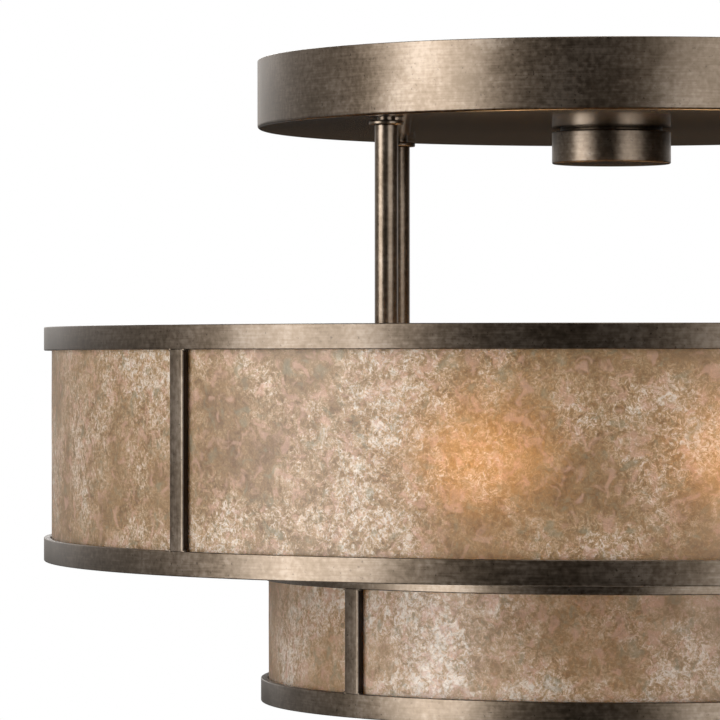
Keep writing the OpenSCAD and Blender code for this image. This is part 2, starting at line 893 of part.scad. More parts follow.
mounting_bracket();
ground_screw();
centre_nipple();
canopy_pan();
knob_washer();
canopy_knob();
wire_nuts();
color("black") lead(-1);  // live_lead
color("white") lead(0);  // neutral_lead
color("green") lead(1);  // earth_lead
lead_ties();
hanger_rod(0);  // hanger_rod_1
hanger_rod(1);  // hanger_rod_2
hanger_rod(2);  // hanger_rod_3
hanger_rod(3);  // hanger_rod_4
rod_collars();
rod_washers();
thread_nuts();
spider_arm(0);  // spider_arm_1
spider_arm(1);  // spider_arm_2
spider_arm(2);  // spider_arm_3
spider_arm(3);  // spider_arm_4
spider_hub();
hub_screws();
cluster_stem();
cluster_body();
cluster_cover();
cover_grommet();
lamp_holder(0);  // lamp_holder_1
lamp_holder(1);  // lamp_holder_2
lamp_holder(2);  // lamp_holder_3
lamp_holder(3);  // lamp_holder_4
lamp_cap(0);  // lamp_cap_1
lamp_cap(1);  // lamp_cap_2
lamp_cap(2);  // lamp_cap_3
lamp_cap(3);  // lamp_cap_4
lamp_glass(0);  // lamp_glass_1
lamp_glass(1);  // lamp_glass_2
lamp_glass(2);  // lamp_glass_3
lamp_glass(3);  // lamp_glass_4
color(bronze) eased_ring(drum_in_r, drum_r, drum_top_z - ring_h, drum_top_z, edge_ease);  // upper_top_ring
color(bronze) eased_ring(drum_in_r, drum_r, drum_bottom_z, drum_bottom_z + ring_h, edge_ease);  // upper_bottom_ring
bars(drum_r, drum_bottom_z + ring_h, drum_top_z - ring_h);  // upper_bars
panel(3, drum_panel_r, plate_top_z, drum_panel_top_z);  // upper_panel_right
panel(0, drum_panel_r, plate_top_z, drum_panel_top_z);  // upper_panel_back
panel(1, drum_panel_r, plate_top_z, drum_panel_top_z);  // upper_panel_left
panel(2, drum_panel_r, plate_top_z, drum_panel_top_z);  // upper_panel_front
upper_panel_clips();
step_plate();
tier_top_ring();
color(bronze) eased_ring(tier_in_r, tier_r, tier_bottom_z, tier_bottom_z + ring_h, edge_ease);  // tier_bottom_ring
bars(tier_r, tier_bottom_z + ring_h, plate_under_z - ring_h);  // tier_bars
panel(3, tier_panel_r, ledge_top_z, tier_panel_top_z);  // tier_panel_right
panel(0, tier_panel_r, ledge_top_z, tier_panel_top_z);  // tier_panel_back
panel(1, tier_panel_r, ledge_top_z, tier_panel_top_z);  // tier_panel_left
panel(2, tier_panel_r, ledge_top_z, tier_panel_top_z);  // tier_panel_front
tier_panel_clips();
tier_screws();
diffuser_ledge();
bottom_diffuser();
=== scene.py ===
# Looks of a two-tier semi flush ceiling light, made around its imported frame.
# Sizes in the dictionaries are millimetres and degrees. Meshes are written in metres.
import bpy
import numpy as np
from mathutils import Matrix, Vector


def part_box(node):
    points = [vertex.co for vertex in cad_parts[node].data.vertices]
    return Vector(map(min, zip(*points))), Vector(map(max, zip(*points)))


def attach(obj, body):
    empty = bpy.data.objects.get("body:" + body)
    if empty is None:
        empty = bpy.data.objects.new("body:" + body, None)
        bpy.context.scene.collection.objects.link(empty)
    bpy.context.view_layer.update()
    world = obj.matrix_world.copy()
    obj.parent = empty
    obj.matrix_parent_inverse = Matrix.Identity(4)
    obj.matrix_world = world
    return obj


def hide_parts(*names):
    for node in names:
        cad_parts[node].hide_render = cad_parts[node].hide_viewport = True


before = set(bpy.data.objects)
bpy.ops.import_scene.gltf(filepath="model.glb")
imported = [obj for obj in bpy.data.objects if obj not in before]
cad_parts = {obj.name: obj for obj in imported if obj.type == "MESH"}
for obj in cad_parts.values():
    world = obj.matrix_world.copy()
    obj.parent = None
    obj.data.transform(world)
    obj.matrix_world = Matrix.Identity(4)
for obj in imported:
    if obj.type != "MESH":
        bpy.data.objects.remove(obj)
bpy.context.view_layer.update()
mm = 0.001
print("frame: loaded", len(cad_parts), "nodes")

cameraView = {
    "place": (0.0003, -2.834, -0.1893),  # metres, level with the upper drum
    "turnLeft": 3.20,  # away from +Y, so that the light's right side runs out of the picture
    "tiltUp": 0.04,
    "lens": 225.3,  # on a 36 mm sensor
}
cameraData = bpy.data.cameras.new("camera")
cameraData.lens = cameraView["lens"]
camera = bpy.data.objects.new("camera", cameraData)
camera.location = cameraView["place"]
camera.rotation_euler = np.radians([90 + cameraView["tiltUp"], 0, cameraView["turnLeft"]])
bpy.context.scene.collection.objects.link(camera)
bpy.context.scene.camera = camera
print("camera: set")


# Surfaces. Each is a pair: an array of points, and a list of arrays of faces with alike corners.

def boxOf(node):
    # Lowest and highest corner of a CAD node, in millimetres
    low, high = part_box(node)
    return np.array(low) / mm, np.array(high) / mm


def eased(corners, steps=4):
    # Each row is x, y and ease. A corner p turns on the parabola (1-s)^2 a + 2s(1-s) p + s^2 b,
    # where a and b lie the ease away from p towards its neighbours.
    rows = np.array(corners, float)
    p = rows[:, None, :2]
    ends = []
    for neighbour in (np.roll(p, 1, 0), np.roll(p, -1, 0)):
        away = neighbour - p
        length = np.linalg.norm(away, axis=2, keepdims=True)
        ends.append(p + away * np.minimum(rows[:, None, 2:] / length, 0.5))
    s = np.linspace(0, 1, steps + 1)[None, :, None]
    curve = (1 - s) ** 2 * ends[0] + 2 * s * (1 - s) * p + s ** 2 * ends[1]
    points = curve.reshape(-1, 2)
    apart = np.linalg.norm(points - np.roll(points, 1, 0), axis=1) > 1e-6
    return points[apart]


def gridFaces(rows, columns, closedRows, closedColumns):
    # Quads between neighbouring rows and neighbouring columns of a grid of points
    i = np.arange(rows if closedRows else rows - 1)[:, None]
    j = np.arange(columns if closedColumns else columns - 1)[None, :]
    nextI = (i + 1) % rows
    nextJ = (j + 1) % columns
    corners = [i * columns + j, nextI * columns + j, nextI * columns + nextJ, i * columns + nextJ]
    return np.stack(np.broadcast_arrays(*corners), -1).reshape(-1, 4)


def revolve(outline, count, span=(0, 360), shape=None):
    # x = r cos a, y = r sin a, z = z, for an anticlockwise outline of r and z and an angle a.
    # shape returns the radius that takes the place of r, from r, z and a.
    whole = span[1] - span[0] == 360
    angle = np.radians(np.linspace(*span, count, endpoint=not whole))[:, None]
    outline = np.asarray(outline, float)
    r, z, a = np.broadcast_arrays(outline[None, :, 0], outline[None, :, 1], angle)
    if shape:
        r = shape(r, z, a)
    points = np.stack([r * np.cos(a), r * np.sin(a), z], -1).reshape(-1, 3)
    faces = [gridFaces(count, len(outline), whole, True)]
    if not whole:
        first = np.arange(len(outline))[None, :]
        faces += [first, len(points) - 1 - first]
    return points, faces


def extrude(outline, low, high):
    # An anticlockwise outline in x and y, carried straight up from low to high, with both ends closed
    flat = np.asarray(outline, float)[:, None, :]
    z = np.array([low, high], float)[None, :, None]
    points = np.concatenate([np.repeat(flat, 2, 1), np.repeat(z, len(flat), 0)], 2).reshape(-1, 3)
    foot = np.arange(len(flat))[None, :] * 2
    return points, [gridFaces(len(flat), 2, True, False), foot[:, ::-1], foot + 1]


def sweep(path, radius, sides):
    # A round tube: point = path + radius (cos m u + sin m v), where u and v stand square to the path
    along = np.gradient(path, axis=0)
    along /= np.linalg.norm(along, axis=1, keepdims=True)
    v = np.cross(np.cross(along, [0, 1, 0]), along)
    v /= np.linalg.norm(v, axis=1, keepdims=True)
    u = np.cross(v, along)
    m = np.linspace(0, 2 * np.pi, sides, endpoint=False)[None, :, None]
    points = path[:, None, :] + radius * (np.cos(m) * u[:, None, :] + np.sin(m) * v[:, None, :])
    ring = np.arange(sides)[None, :]
    lastRing = (len(path) - 1) * sides + ring
    faces = [gridFaces(len(path), sides, False, True)[:, ::-1], ring[:, ::-1], lastRing]
    return points.reshape(-1, 3), faces


def placed(surface, shift=(0, 0, 0), turn=0):
    # Shifted, then turned about +Z by an angle in degrees
    points, faces = surface
    x, y, z = (points + np.array(shift, float)).T
    c, s = np.cos(np.radians(turn)), np.sin(np.radians(turn))
    return np.stack([c * x - s * y, s * x + c * y, z], 1), faces


def laidOver(surface):
    # Turned a quarter about +Y, so that +Z comes to lie along +X
    points, faces = surface
    x, y, z = points.T
    return np.stack([z, y, -x], 1), faces


def welded(surface):
    # Points within a micrometre become one, so seams and poles close. A face keeps each corner once.
    points, faces = surface
    keys = np.round(points * 1000).astype(np.int64)
    first, index = np.unique(keys, axis=0, return_index=True, return_inverse=True)[1:]
    index = index.reshape(-1)
    kept = []
    for group in faces:
        corners = index[group]
        repeats = corners == np.roll(corners, 1, 1)
        kept.append(corners[~repeats.any(1)])
        once = repeats.sum(1) == 1
        kept.append(corners[once][~repeats[once]].reshape(-1, corners.shape[1] - 1))
    return points[first], [group for group in kept if len(group)]


def newPiece(node, surfaces, finish, body="root", sharp=38):
    # One mesh object at the origin from several surfaces, smooth but for edges sharper than the angle. It
    # takes a CAD node's place, and the node's name in camel case.
    first, *rest = node.split("_")
    name = first + "".join(word.capitalize() for word in rest)
    points, groups, start = [], [], 0
    for surface in surfaces:
        surfacePoints, surfaceFaces = welded(surface)
        points.append(surfacePoints)
        groups += [group + start for group in surfaceFaces]
        start += len(surfacePoints)
    corners = np.concatenate([group.ravel() for group in groups])
    counts = np.concatenate([np.full(len(group), group.shape[1]) for group in groups])
    mesh = bpy.data.meshes.new(name)
    mesh.vertices.add(start)
    mesh.vertices.foreach_set("co", (np.concatenate(points) * mm).ravel())
    mesh.loops.add(len(corners))
    mesh.loops.foreach_set("vertex_index", corners)
    mesh.polygons.add(len(counts))
    mesh.polygons.foreach_set("loop_start", np.cumsum(counts) - counts)
    mesh.polygons.foreach_set("use_smooth", np.ones(len(counts), bool))
    mesh.update(calc_edges=True)
    mesh.validate()
    mesh.set_sharp_from_angle(angle=np.radians(sharp))
    material, slotName = finish
    mesh.materials.append(material)
    piece = bpy.data.objects.new(name, mesh)
    bpy.context.scene.collection.objects.link(piece)
    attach(piece, body)
    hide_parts(node)


def dressNode(node, finish, ease):
    # A CAD node that keeps its shape: its material, and a bevel over its welded edges
    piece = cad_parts[node]
    piece.data.materials.clear()
    piece.data.materials.append(finish[0])
    weldEdges = piece.modifiers.new("weldEdges", "WELD")
    weldEdges.merge_threshold = 1e-6
    easeEdges = piece.modifiers.new("easeEdges", "BEVEL")
    easeEdges.width = ease * mm
    easeEdges.segments = 2
    easeEdges.limit_method = "ANGLE"
    easeEdges.angle_limit = np.radians(40)
    easeEdges.harden_normals = True


def threadWave(z, a, pitch):
    # Height of a straight-sided ridge that climbs one pitch a turn, from 0 in its root to 1 on its crest
    return np.abs(2 * np.mod(z / pitch - a / (2 * np.pi), 1) - 1)


def threaded(outer, depth, pitch):
    # A shape for revolve: cuts a thread of that depth into walls of that radius
    return lambda r, z, a: np.where(np.abs(r - outer) < 1e-3, r - depth * threadWave(z, a, pitch), r)


def hexRadius(a, acrossFlats):
    # Radius of a hexagon's side at an angle: half its width over cos of the angle off the flat's middle
    return acrossFlats / 2 / np.cos(np.mod(a, np.pi / 3) - np.pi / 6)


def wall(r, low, high, pitch, rows=6):
    # Points up a wall of that radius, with that many rows to each pitch of its thread
    heights = np.linspace(low, high, max(2, int(rows * (high - low) / pitch)))
    return [(r, z) for z in heights]


# Materials

def toLinear(hexColour):
    # sRGB hex to the linear colour that a socket takes
    srgb = np.array([int(hexColour[k:k + 2], 16) for k in (1, 3, 5)]) / 255
    linear = np.where(srgb <= 0.04045, srgb / 12.92, ((srgb + 0.055) / 1.055) ** 2.4)
    return (*linear.tolist(), 1)


def addNode(tree, kind, settings=None, inputs=None, output=0):
    # Adds a node and returns one of its outputs. settings are its own values. inputs are values, or sockets
    # to link, by the name or number of the node's own socket.
    node = tree.nodes.new("ShaderNode" + kind)
    for name, value in (settings or {}).items():
        if name != "stops":
            setattr(node, name, value)
            continue
        while len(node.color_ramp.elements) < len(value):
            node.color_ramp.elements.new(1)
        for element, (position, colour) in zip(node.color_ramp.elements, value):
            element.position = position
            element.color = toLinear(colour)
    for name, value in (inputs or {}).items():
        if isinstance(value, bpy.types.NodeSocket):
            tree.links.new(value, node.inputs[name])
        else:
            node.inputs[name].default_value = value
    return node.outputs[output] if node.outputs else None


def newMaterial(name):
    # An empty material, with the place on the piece that its patterns read
    material = bpy.data.materials.new(name)
    material.use_nodes = True
    tree = material.node_tree
    tree.nodes.clear()
    return material, tree, addNode(tree, "TexCoord", output="Object")


bronzeLooks = {
    "patina": "#665848",
    "body": "#7a6b5b",
    "rubbed": "#908273",
    "paintedShade": "#21160d",  # painted shade, on faces that look up, down, aside or inward
    "speck": "#3a3028",
    "stops": (0.38, 0.5, 0.62),  # where in the pattern patina, body and rubbed lie
    "lineSpacing": 1.1,  # brush lines, drawn coarser than real ones so that they show
    "lineLength": 22,
    "mottle": 3,
    "mottleShare": 0.6,  # against the lines
    "cloud": 34,
    "cloudShare": 0.4,  # against lines and mottle together
    "speckSize": 2.0,
    "speckShare": 0.6,
    "roughness": (0.28, 0.34),
    "spun": 0.1,  # roughness of faces that look down, which were spun smooth and not brushed
    "relief": 0.004,
}


def brushedBronze(name, roundAxis, turnedAwayShade, frontShade=0):
    # Steel plated with bronze, darkened and brushed, then lacquered: the brush leaves fine lines, the
    # patina lies in soft clouds and small mottles, and the lacquer keeps a soft white edge to the
    # highlights. roundAxis is 1 for lines that run round the light's axis. The third argument is painted
    # shade: how dark the faces that look up, down, aside or inward are painted. The fourth is painted shade
    # too: how much of that dark is painted on the faces that look outward.
    looks = bronzeLooks
    material, tree, place = newMaterial(name)
    across = 1 / (looks["lineSpacing"] * mm)
    along = 1 / (looks["lineLength"] * mm)
    x, y, z = addNode(tree, "SeparateXYZ", {}, {0: place}).node.outputs
    flat = addNode(tree, "CombineXYZ", {}, {0: x, 1: y})
    radius = addNode(tree, "VectorMath", {"operation": "LENGTH"}, {0: flat}, "Value")
    height = addNode(tree, "Math", {"operation": "MULTIPLY_ADD"}, {0: radius, 1: roundAxis, 2: z})
    laid = addNode(tree, "CombineXYZ", {}, {0: x, 1: y, 2: height})
    brushed = addNode(tree, "Mapping", {}, {
        "Vector": laid, "Scale": (along, along, across) if roundAxis else (across, across, along)})
    lines = addNode(tree, "TexNoise", {}, {"Vector": brushed, "Scale": 1, "Detail": 3})
    mottle = addNode(tree, "TexNoise", {}, {
        "Vector": place, "Scale": 1 / (looks["mottle"] * mm), "Detail": 3})
    cloud = addNode(tree, "TexNoise", {}, {
        "Vector": place, "Scale": 1 / (looks["cloud"] * mm), "Detail": 3})
    fine = addNode(tree, "Mix", {}, {0: looks["mottleShare"], 2: lines, 3: mottle})
    tone = addNode(tree, "Mix", {}, {0: looks["cloudShare"], 2: fine, 3: cloud})
    stops = list(zip(looks["stops"], (looks["patina"], looks["body"], looks["rubbed"])))
    colour = addNode(tree, "ValToRGB", {"stops": stops}, {"Fac": tone})
    speckled = addNode(tree, "TexNoise", {}, {
        "Vector": place, "Scale": 1 / (looks["speckSize"] * mm), "Detail": 1})
    speck = addNode(tree, "MapRange", {}, {
        0: speckled, 1: 0.68, 2: 0.78, 3: 0, 4: looks["speckShare"]})
    colour = addNode(tree, "Mix", {"data_type": "RGBA"}, {
        0: speck, 6: colour, 7: toLinear(looks["speck"])}, 2)
    # Painted shade: how far a face looks outward from the axis sets how much of the painted shade colour it
    # gets, so undersides, tops, inner faces and the bars' sides are painted dark
    outward = addNode(tree, "VectorMath", {"operation": "NORMALIZE"}, {0: flat})
    facing = addNode(tree, "NewGeometry", output="True Normal")
    rubbed = addNode(tree, "VectorMath", {"operation": "DOT_PRODUCT"}, {0: outward, 1: facing}, "Value")
    paintedShadeShare = addNode(tree, "MapRange", {}, {0: rubbed, 1: 0.3, 2: 0.75, 3: turnedAwayShade, 4: frontShade})
    colour = addNode(tree, "Mix", {"data_type": "RGBA"}, {
        0: paintedShadeShare, 6: colour, 7: toLinear(looks["paintedShade"])}, 2)
    smooth, rough = looks["roughness"]
    gloss = addNode(tree, "MapRange", {}, {0: fine, 1: 0.38, 2: 0.62, 3: smooth, 4: rough})
    upward = addNode(tree, "SeparateXYZ", {}, {0: facing}, "Z")
    spun = addNode(tree, "MapRange", {}, {0: upward, 1: -0.98, 2: -0.8, 3: 1, 4: 0})
    gloss = addNode(tree, "Mix", {}, {0: spun, 2: gloss, 3: looks["spun"]})
    relief = addNode(tree, "Bump", {}, {"Height": fine, "Distance": looks["relief"] * mm})
    shader = addNode(tree, "BsdfPrincipled", {}, {
        "Metallic": 1.0, "Coat Weight": 0.5, "Coat Roughness": 0.25, "Anisotropic": 0.3,
        "Base Color": colour, "Roughness": gloss, "Normal": relief})
    addNode(tree, "OutputMaterial", {}, {"Surface": shader})
    return material, "antique_bronze"


darkBronzeLooks = {
    "stops": [(0.4, "#362b21"), (0.52, "#4b3f32"), (0.64, "#635342")],
    "cloud": 30,
    "mottle": 1.6,
    "mottleShare": 0.4,
    "roughness": (0.34, 0.52),
    "relief": 0.02,
}


def satinDarkBronze():
    # Steel with a darkened bronze finish left unbrushed: almost black brown, with a soft even gloss
    looks = darkBronzeLooks
    material, tree, place = newMaterial("satinDarkBronze")
    cloud = addNode(tree, "TexNoise", {}, {
        "Vector": place, "Scale": 1 / (looks["cloud"] * mm), "Detail": 3})
    mottle = addNode(tree, "TexNoise", {}, {
        "Vector": place, "Scale": 1 / (looks["mottle"] * mm), "Detail": 2})
    tone = addNode(tree, "Mix", {}, {0: looks["mottleShare"], 2: cloud, 3: mottle})
    colour = addNode(tree, "ValToRGB", {"stops": looks["stops"]}, {"Fac": tone})
    smooth, rough = looks["roughness"]
    gloss = addNode(tree, "MapRange", {}, {0: tone, 1: 0.3, 2: 0.7, 3: smooth, 4: rough})
    relief = addNode(tree, "Bump", {}, {"Height": mottle, "Distance": looks["relief"] * mm})
    shader = addNode(tree, "BsdfPrincipled", {}, {
        "Metallic": 0.9, "Coat Weight": 0.1, "Coat Roughness": 0.3,
        "Base Color": colour, "Roughness": gloss, "Normal": relief})
    addNode(tree, "OutputMaterial", {}, {"Surface": shader})
    return material, "dark_bronze"


micaLooks = {
    "shade": "#7b5d40",
    "ground": "#a88963",
    "flake": "#cfb393",
    "glint": "#f8efe3",
    "stops": (0.0, 0.38, 0.62, 0.95),  # where in the pattern these four lie
    "pink": "#dcb29e",
    "cool": "#94927a",
    "tint": 9,
    "tintShare": 0.55,
    "through": "#f2d690",  # colour of the light that passes
    "clear": 0.24,  # share of the light that passes each face
    "haze": 0.42,
    "flakeSize": 5.5,
    "fibreSize": 1.9,
    "fibreShare": 0.55,  # against the flakes
    "curl": 0.9,
    "threadSize": 5.5,  # loops of the thin bright edges of curled flakes
    "threadWide": 0.04,
    "threadTone": 0.45,
    "patch": 17,
    "cloud": 60,
    "cloudShare": 0.6,  # against the patches
    "cloudPlace": (1499, 465, 2475),  # where in the pattern the sheet was cut
    "flakeShow": (0.45, 1.15),  # how strongly the flakes show where they lie thinnest and thickest
    "flakeSwing": 0.6,  # how far they move the tone
    "groundTone": (0.25, 0.7),  # between thin and thick clouds
    "pearl": (0.06, 0.22),
    "roughness": (0.52, 0.42),
    "relief": 0.15,
}


def pressedMica(name, pale):
    # Mica flakes laid in shellac and pressed into sheet: curled flakes mottle it, thick in some places and
    # thin in others, the ones that lie flat shine like pearl, and a blurred warm light comes through.
    # The last argument is painted light: it moves the whole sheet's tone towards the glint's colour, and
    # away from it below zero, so the lower tier is painted lighter and the upper one darker.
    looks = micaLooks
    material, tree, place = newMaterial(name)
    flakes = addNode(tree, "TexNoise", {}, {
        "Vector": place, "Scale": 1 / (looks["flakeSize"] * mm), "Detail": 2, "Distortion": looks["curl"]})
    fibres = addNode(tree, "TexNoise", {}, {
        "Vector": place, "Scale": 1 / (looks["fibreSize"] * mm), "Detail": 3, "Distortion": looks["curl"]})
    patch = addNode(tree, "TexNoise", {}, {
        "Vector": place, "Scale": 1 / (looks["patch"] * mm), "Detail": 4, "Distortion": 0.6})
    cut = [mm * step for step in looks["cloudPlace"]]
    cutFrom = addNode(tree, "Mapping", {}, {"Vector": place, "Location": cut})
    cloud = addNode(tree, "TexNoise", {}, {
        "Vector": cutFrom, "Scale": 1 / (looks["cloud"] * mm), "Detail": 2})
    loops = addNode(tree, "TexNoise", {}, {
        "Vector": place, "Scale": 1 / (looks["threadSize"] * mm), "Detail": 3, "Distortion": 1.6})
    offEdge = addNode(tree, "Math", {"operation": "SUBTRACT"}, {0: loops, 1: 0.5})
    offEdge = addNode(tree, "Math", {"operation": "ABSOLUTE"}, {0: offEdge})
    threads = addNode(tree, "MapRange", {}, {
        0: offEdge, 1: 0, 2: looks["threadWide"], 3: looks["threadTone"], 4: -0.06})
    curls = addNode(tree, "Mix", {}, {0: looks["fibreShare"], 2: flakes, 3: fibres})
    mottled = addNode(tree, "MapRange", {}, {0: curls, 1: 0.36, 2: 0.64, 3: -0.5, 4: 0.5})
    raised = addNode(tree, "Math", {"operation": "ADD"}, {0: mottled, 1: threads})
    thin, thick = looks["flakeShow"]
    dense = addNode(tree, "MapRange", {}, {0: cloud, 1: 0.4, 2: 0.6, 3: thin, 4: thick})
    flaked = addNode(tree, "Math", {"operation": "MULTIPLY"}, {0: raised, 1: dense})
    broad = addNode(tree, "Mix", {}, {0: looks["cloudShare"], 2: patch, 3: cloud})
    dark, light = looks["groundTone"]
    ground = addNode(tree, "MapRange", {}, {0: broad, 1: 0.38, 2: 0.62, 3: dark + pale, 4: light + pale})
    tone = addNode(tree, "Math", {"operation": "MULTIPLY_ADD"}, {
        0: flaked, 1: looks["flakeSwing"], 2: ground})
    colours = (looks["shade"], looks["ground"], looks["flake"], looks["glint"])
    stops = list(zip(looks["stops"], colours))
    colour = addNode(tree, "ValToRGB", {"stops": stops}, {"Fac": tone})
    tint = addNode(tree, "TexNoise", {}, {
        "Vector": place, "Scale": 1 / (looks["tint"] * mm), "Detail": 3, "Distortion": 1})
    for tinge, start, end in (("cool", 0.42, 0.3), ("pink", 0.53, 0.66)):
        share = addNode(tree, "MapRange", {}, {0: tint, 1: start, 2: end, 3: 0, 4: looks["tintShare"]})
        colour = addNode(tree, "Mix", {"data_type": "RGBA"}, {
            0: share, 6: colour, 7: toLinear(looks[tinge])}, 2)
    dull, bright = looks["pearl"]
    pearl = addNode(tree, "MapRange", {}, {0: tone, 1: 0.3, 2: 0.75, 3: dull, 4: bright})
    rough, smooth = looks["roughness"]
    gloss = addNode(tree, "MapRange", {}, {0: tone, 1: 0.3, 2: 0.75, 3: rough, 4: smooth})
    relief = addNode(tree, "Bump", {}, {"Height": flaked, "Distance": looks["relief"] * mm})
    sheet = addNode(tree, "BsdfPrincipled", {}, {
        "IOR": 1.58, "Coat Weight": 0.7, "Coat Roughness": 0.36,
        "Base Color": colour, "Metallic": pearl, "Roughness": gloss, "Normal": relief})
    passing = addNode(tree, "BsdfRefraction", {}, {
        "Color": toLinear(looks["through"]), "Roughness": looks["haze"], "IOR": 1.3})
    both = addNode(tree, "MixShader", {}, {0: looks["clear"], 1: sheet, 2: passing})
    addNode(tree, "OutputMaterial", {}, {"Surface": both})
    return material, "mica"


def plainFinish(name, slotName, constants, tones, lump, roughness, depth):
    # One finish whose colour, gloss and relief vary with a fine grain of lump millimetres, and with clouds
    # twelve times as large. constants are the values that are the same all over.
    material, tree, place = newMaterial(name)
    fine = addNode(tree, "TexNoise", {}, {"Vector": place, "Scale": 1 / (lump * mm), "Detail": 3})
    cloud = addNode(tree, "TexNoise", {}, {"Vector": place, "Scale": 1 / (12 * lump * mm), "Detail": 2})
    tone = addNode(tree, "Mix", {}, {0: 0.5, 2: cloud, 3: fine})
    colour = addNode(tree, "ValToRGB", {"stops": [(0.38, tones[0]), (0.62, tones[1])]}, {"Fac": tone})
    gloss = addNode(tree, "MapRange", {}, {0: tone, 1: 0.3, 2: 0.7, 3: roughness[0], 4: roughness[1]})
    relief = addNode(tree, "Bump", {}, {"Height": fine, "Distance": depth * mm})
    shader = addNode(tree, "BsdfPrincipled", {}, {
        **constants, "Base Color": colour, "Roughness": gloss, "Normal": relief})
    addNode(tree, "OutputMaterial", {}, {"Surface": shader})
    return material, slotName


# The last two numbers are painted shade: the third on faces that look up, down, aside or inward, the fourth
# on the outward faces, so the top ring is a darker painted copy of the same bronze
roundBronze = brushedBronze("brushedBronzeRound", 1, 0.9)
topRingShadedBronze = brushedBronze("brushedBronzeTopRingShaded", 1, 0.9, 0.22)
barBronze = brushedBronze("brushedBronzeBar", 0, 1)
tubeBronze = brushedBronze("brushedBronzeTube", 0, 0)
darkBronze = satinDarkBronze()
# Painted light: one mica for both tiers, painted lighter on the lower tier and the bottom disc, and darker
# on the upper tier
upperMicaShaded = pressedMica("pressedMicaUpperShaded", -0.06)
lowerMicaLit = pressedMica("pressedMicaLowerLit", 0.09)
# Frosted glass of a lit lamp: an etched white bulb that glows a warm white
litGlass = plainFinish("litFrostedGlass", "frosted_glass", {
    "IOR": 1.5, "Emission Color": toLinear("#ffce90"), "Emission Strength": 8.3},
    ("#efe6d6", "#fbf5ea"), 0.8, (0.35, 0.5), 0.01)
# Bright zinc on pressed steel: pale blue-grey metal with a faint dull bloom
zincSteel = plainFinish("zincPlatedSteel", "zinc_steel", {"Metallic": 1.0},
                        ("#8f9496", "#c3c6c4"), 1.1, (0.3, 0.5), 0.01)
# Turned brass left to dull: warm yellow with brown clouds
turnedBrass = plainFinish("turnedBrass", "brass", {"Metallic": 1.0},
                          ("#8a6a33", "#c9a35c"), 0.9, (0.24, 0.42), 0.008)
# Glazed porcelain: off-white under clear gloss
glazedPorcelain = plainFinish("glazedPorcelain", "porcelain", {"Coat Weight": 1.0, "Coat Roughness": 0.06},
                              ("#e2dccd", "#f3efe4"), 1.5, (0.2, 0.3), 0.008)
# Moulded polypropylene: waxy orange with a fine moulded grain
mouldedOrange = plainFinish("mouldedPolypropylene", "orange_plastic", {"Subsurface Weight": 0.1},
                            ("#c8611c", "#e0792f"), 0.5, (0.35, 0.5), 0.01)
# Extruded PVC: smooth insulation with a low sheen, in the three lead colours
pvc = {}
for name, tones in (
        ("Black", ("#151515", "#232323")), ("White", ("#d4d2cb", "#e6e4de")),
        ("Green", ("#1e6b33", "#2c8244"))):
    pvc[name] = plainFinish(f"extruded{name}Pvc", f"{name.lower()}_plastic", {},
                            tones, 0.5, (0.32, 0.45), 0.006)
# Moulded black nylon of the ties: near black, with a dull gloss
blackNylon = plainFinish("mouldedBlackNylon", "black_plastic", {},
                         ("#17171a", "#26262a"), 0.4, (0.4, 0.55), 0.01)
# Steel dyed green, as earth screws are: the metal shines through a clear green
dyedSteel = plainFinish("greenDyedSteel", "green_steel", {"Metallic": 0.7},
                        ("#215c34", "#37864f"), 0.6, (0.3, 0.45), 0.008)
# Black rubber: matt, with a dusty bloom
blackRubber = plainFinish("mouldedBlackRubber", "black_rubber", {},
                          ("#131312", "#2a2927"), 0.7, (0.65, 0.85), 0.01)
print("materials: made", len(bpy.data.materials))

# Turned parts about the light's own axis

# Points round each turned part
around = {
    "ring": 288, "disc": 192, "knobWasher": 160, "holder": 96, "wireNut": 96, "lamp": 72, "nut": 72,
    "collar": 64, "washer": 48, "screw": 48, "groundScrew": 40, "rod": 40, "grommet": 40, "pipe": 32,
    "bead": 16, "lead": 14
}
canopy = {"sheet": 1.2, "corner": 2.2, "rimLip": 3.5, "rimEase": 0.6}
low, high = boxOf("canopy_pan")
canopyR, canopyFloor = high[0], low[2]
t = canopy["sheet"]
outline = eased([
    (0, canopyFloor, 0), (canopyR, canopyFloor, canopy["corner"]), (canopyR, 0, canopy["rimEase"]),
    (canopyR - canopy["rimLip"], 0, 0), (canopyR - canopy["rimLip"], -t, 0), (canopyR - t, -t, 0),
    (canopyR - t, canopyFloor + t, canopy["corner"]), (0, canopyFloor + t, 0)
], 6)
newPiece("canopy_pan", [revolve(outline, around["ring"])], roundBronze)

thread = {"outer": 4.94, "bore": 3.0, "depth": 0.45, "pitch": 25.4 / 27, "play": 0.2}
threadShape = threaded(thread["outer"], thread["depth"], thread["pitch"])


def pipe(node):
    # A threaded tube that stands on the axis between the node's own levels
    low, high = boxOf(node)
    rows = wall(thread["outer"], low[2], high[2], thread["pitch"])
    outline = [(thread["bore"], low[2]), *rows, (thread["bore"], high[2])]
    return revolve(outline, around["pipe"], shape=threadShape)


def ringOutline(inner, outer, low, high, ease):
    # The four corners of a flat-sided ring, each eased alike
    return eased([(inner, low, ease), (outer, low, ease), (outer, high, ease), (inner, high, ease)])


newPiece("centre_nipple", [pipe("centre_nipple")], zincSteel)
newPiece("cluster_stem", [pipe("cluster_stem")], turnedBrass)

low, high = boxOf("knob_washer")
outline = ringOutline(thread["outer"] + thread["play"], high[0], low[2], high[2], 0.4)
surface = revolve(outline, around["knobWasher"])
newPiece("knob_washer", [surface], darkBronze, "knob_washer")

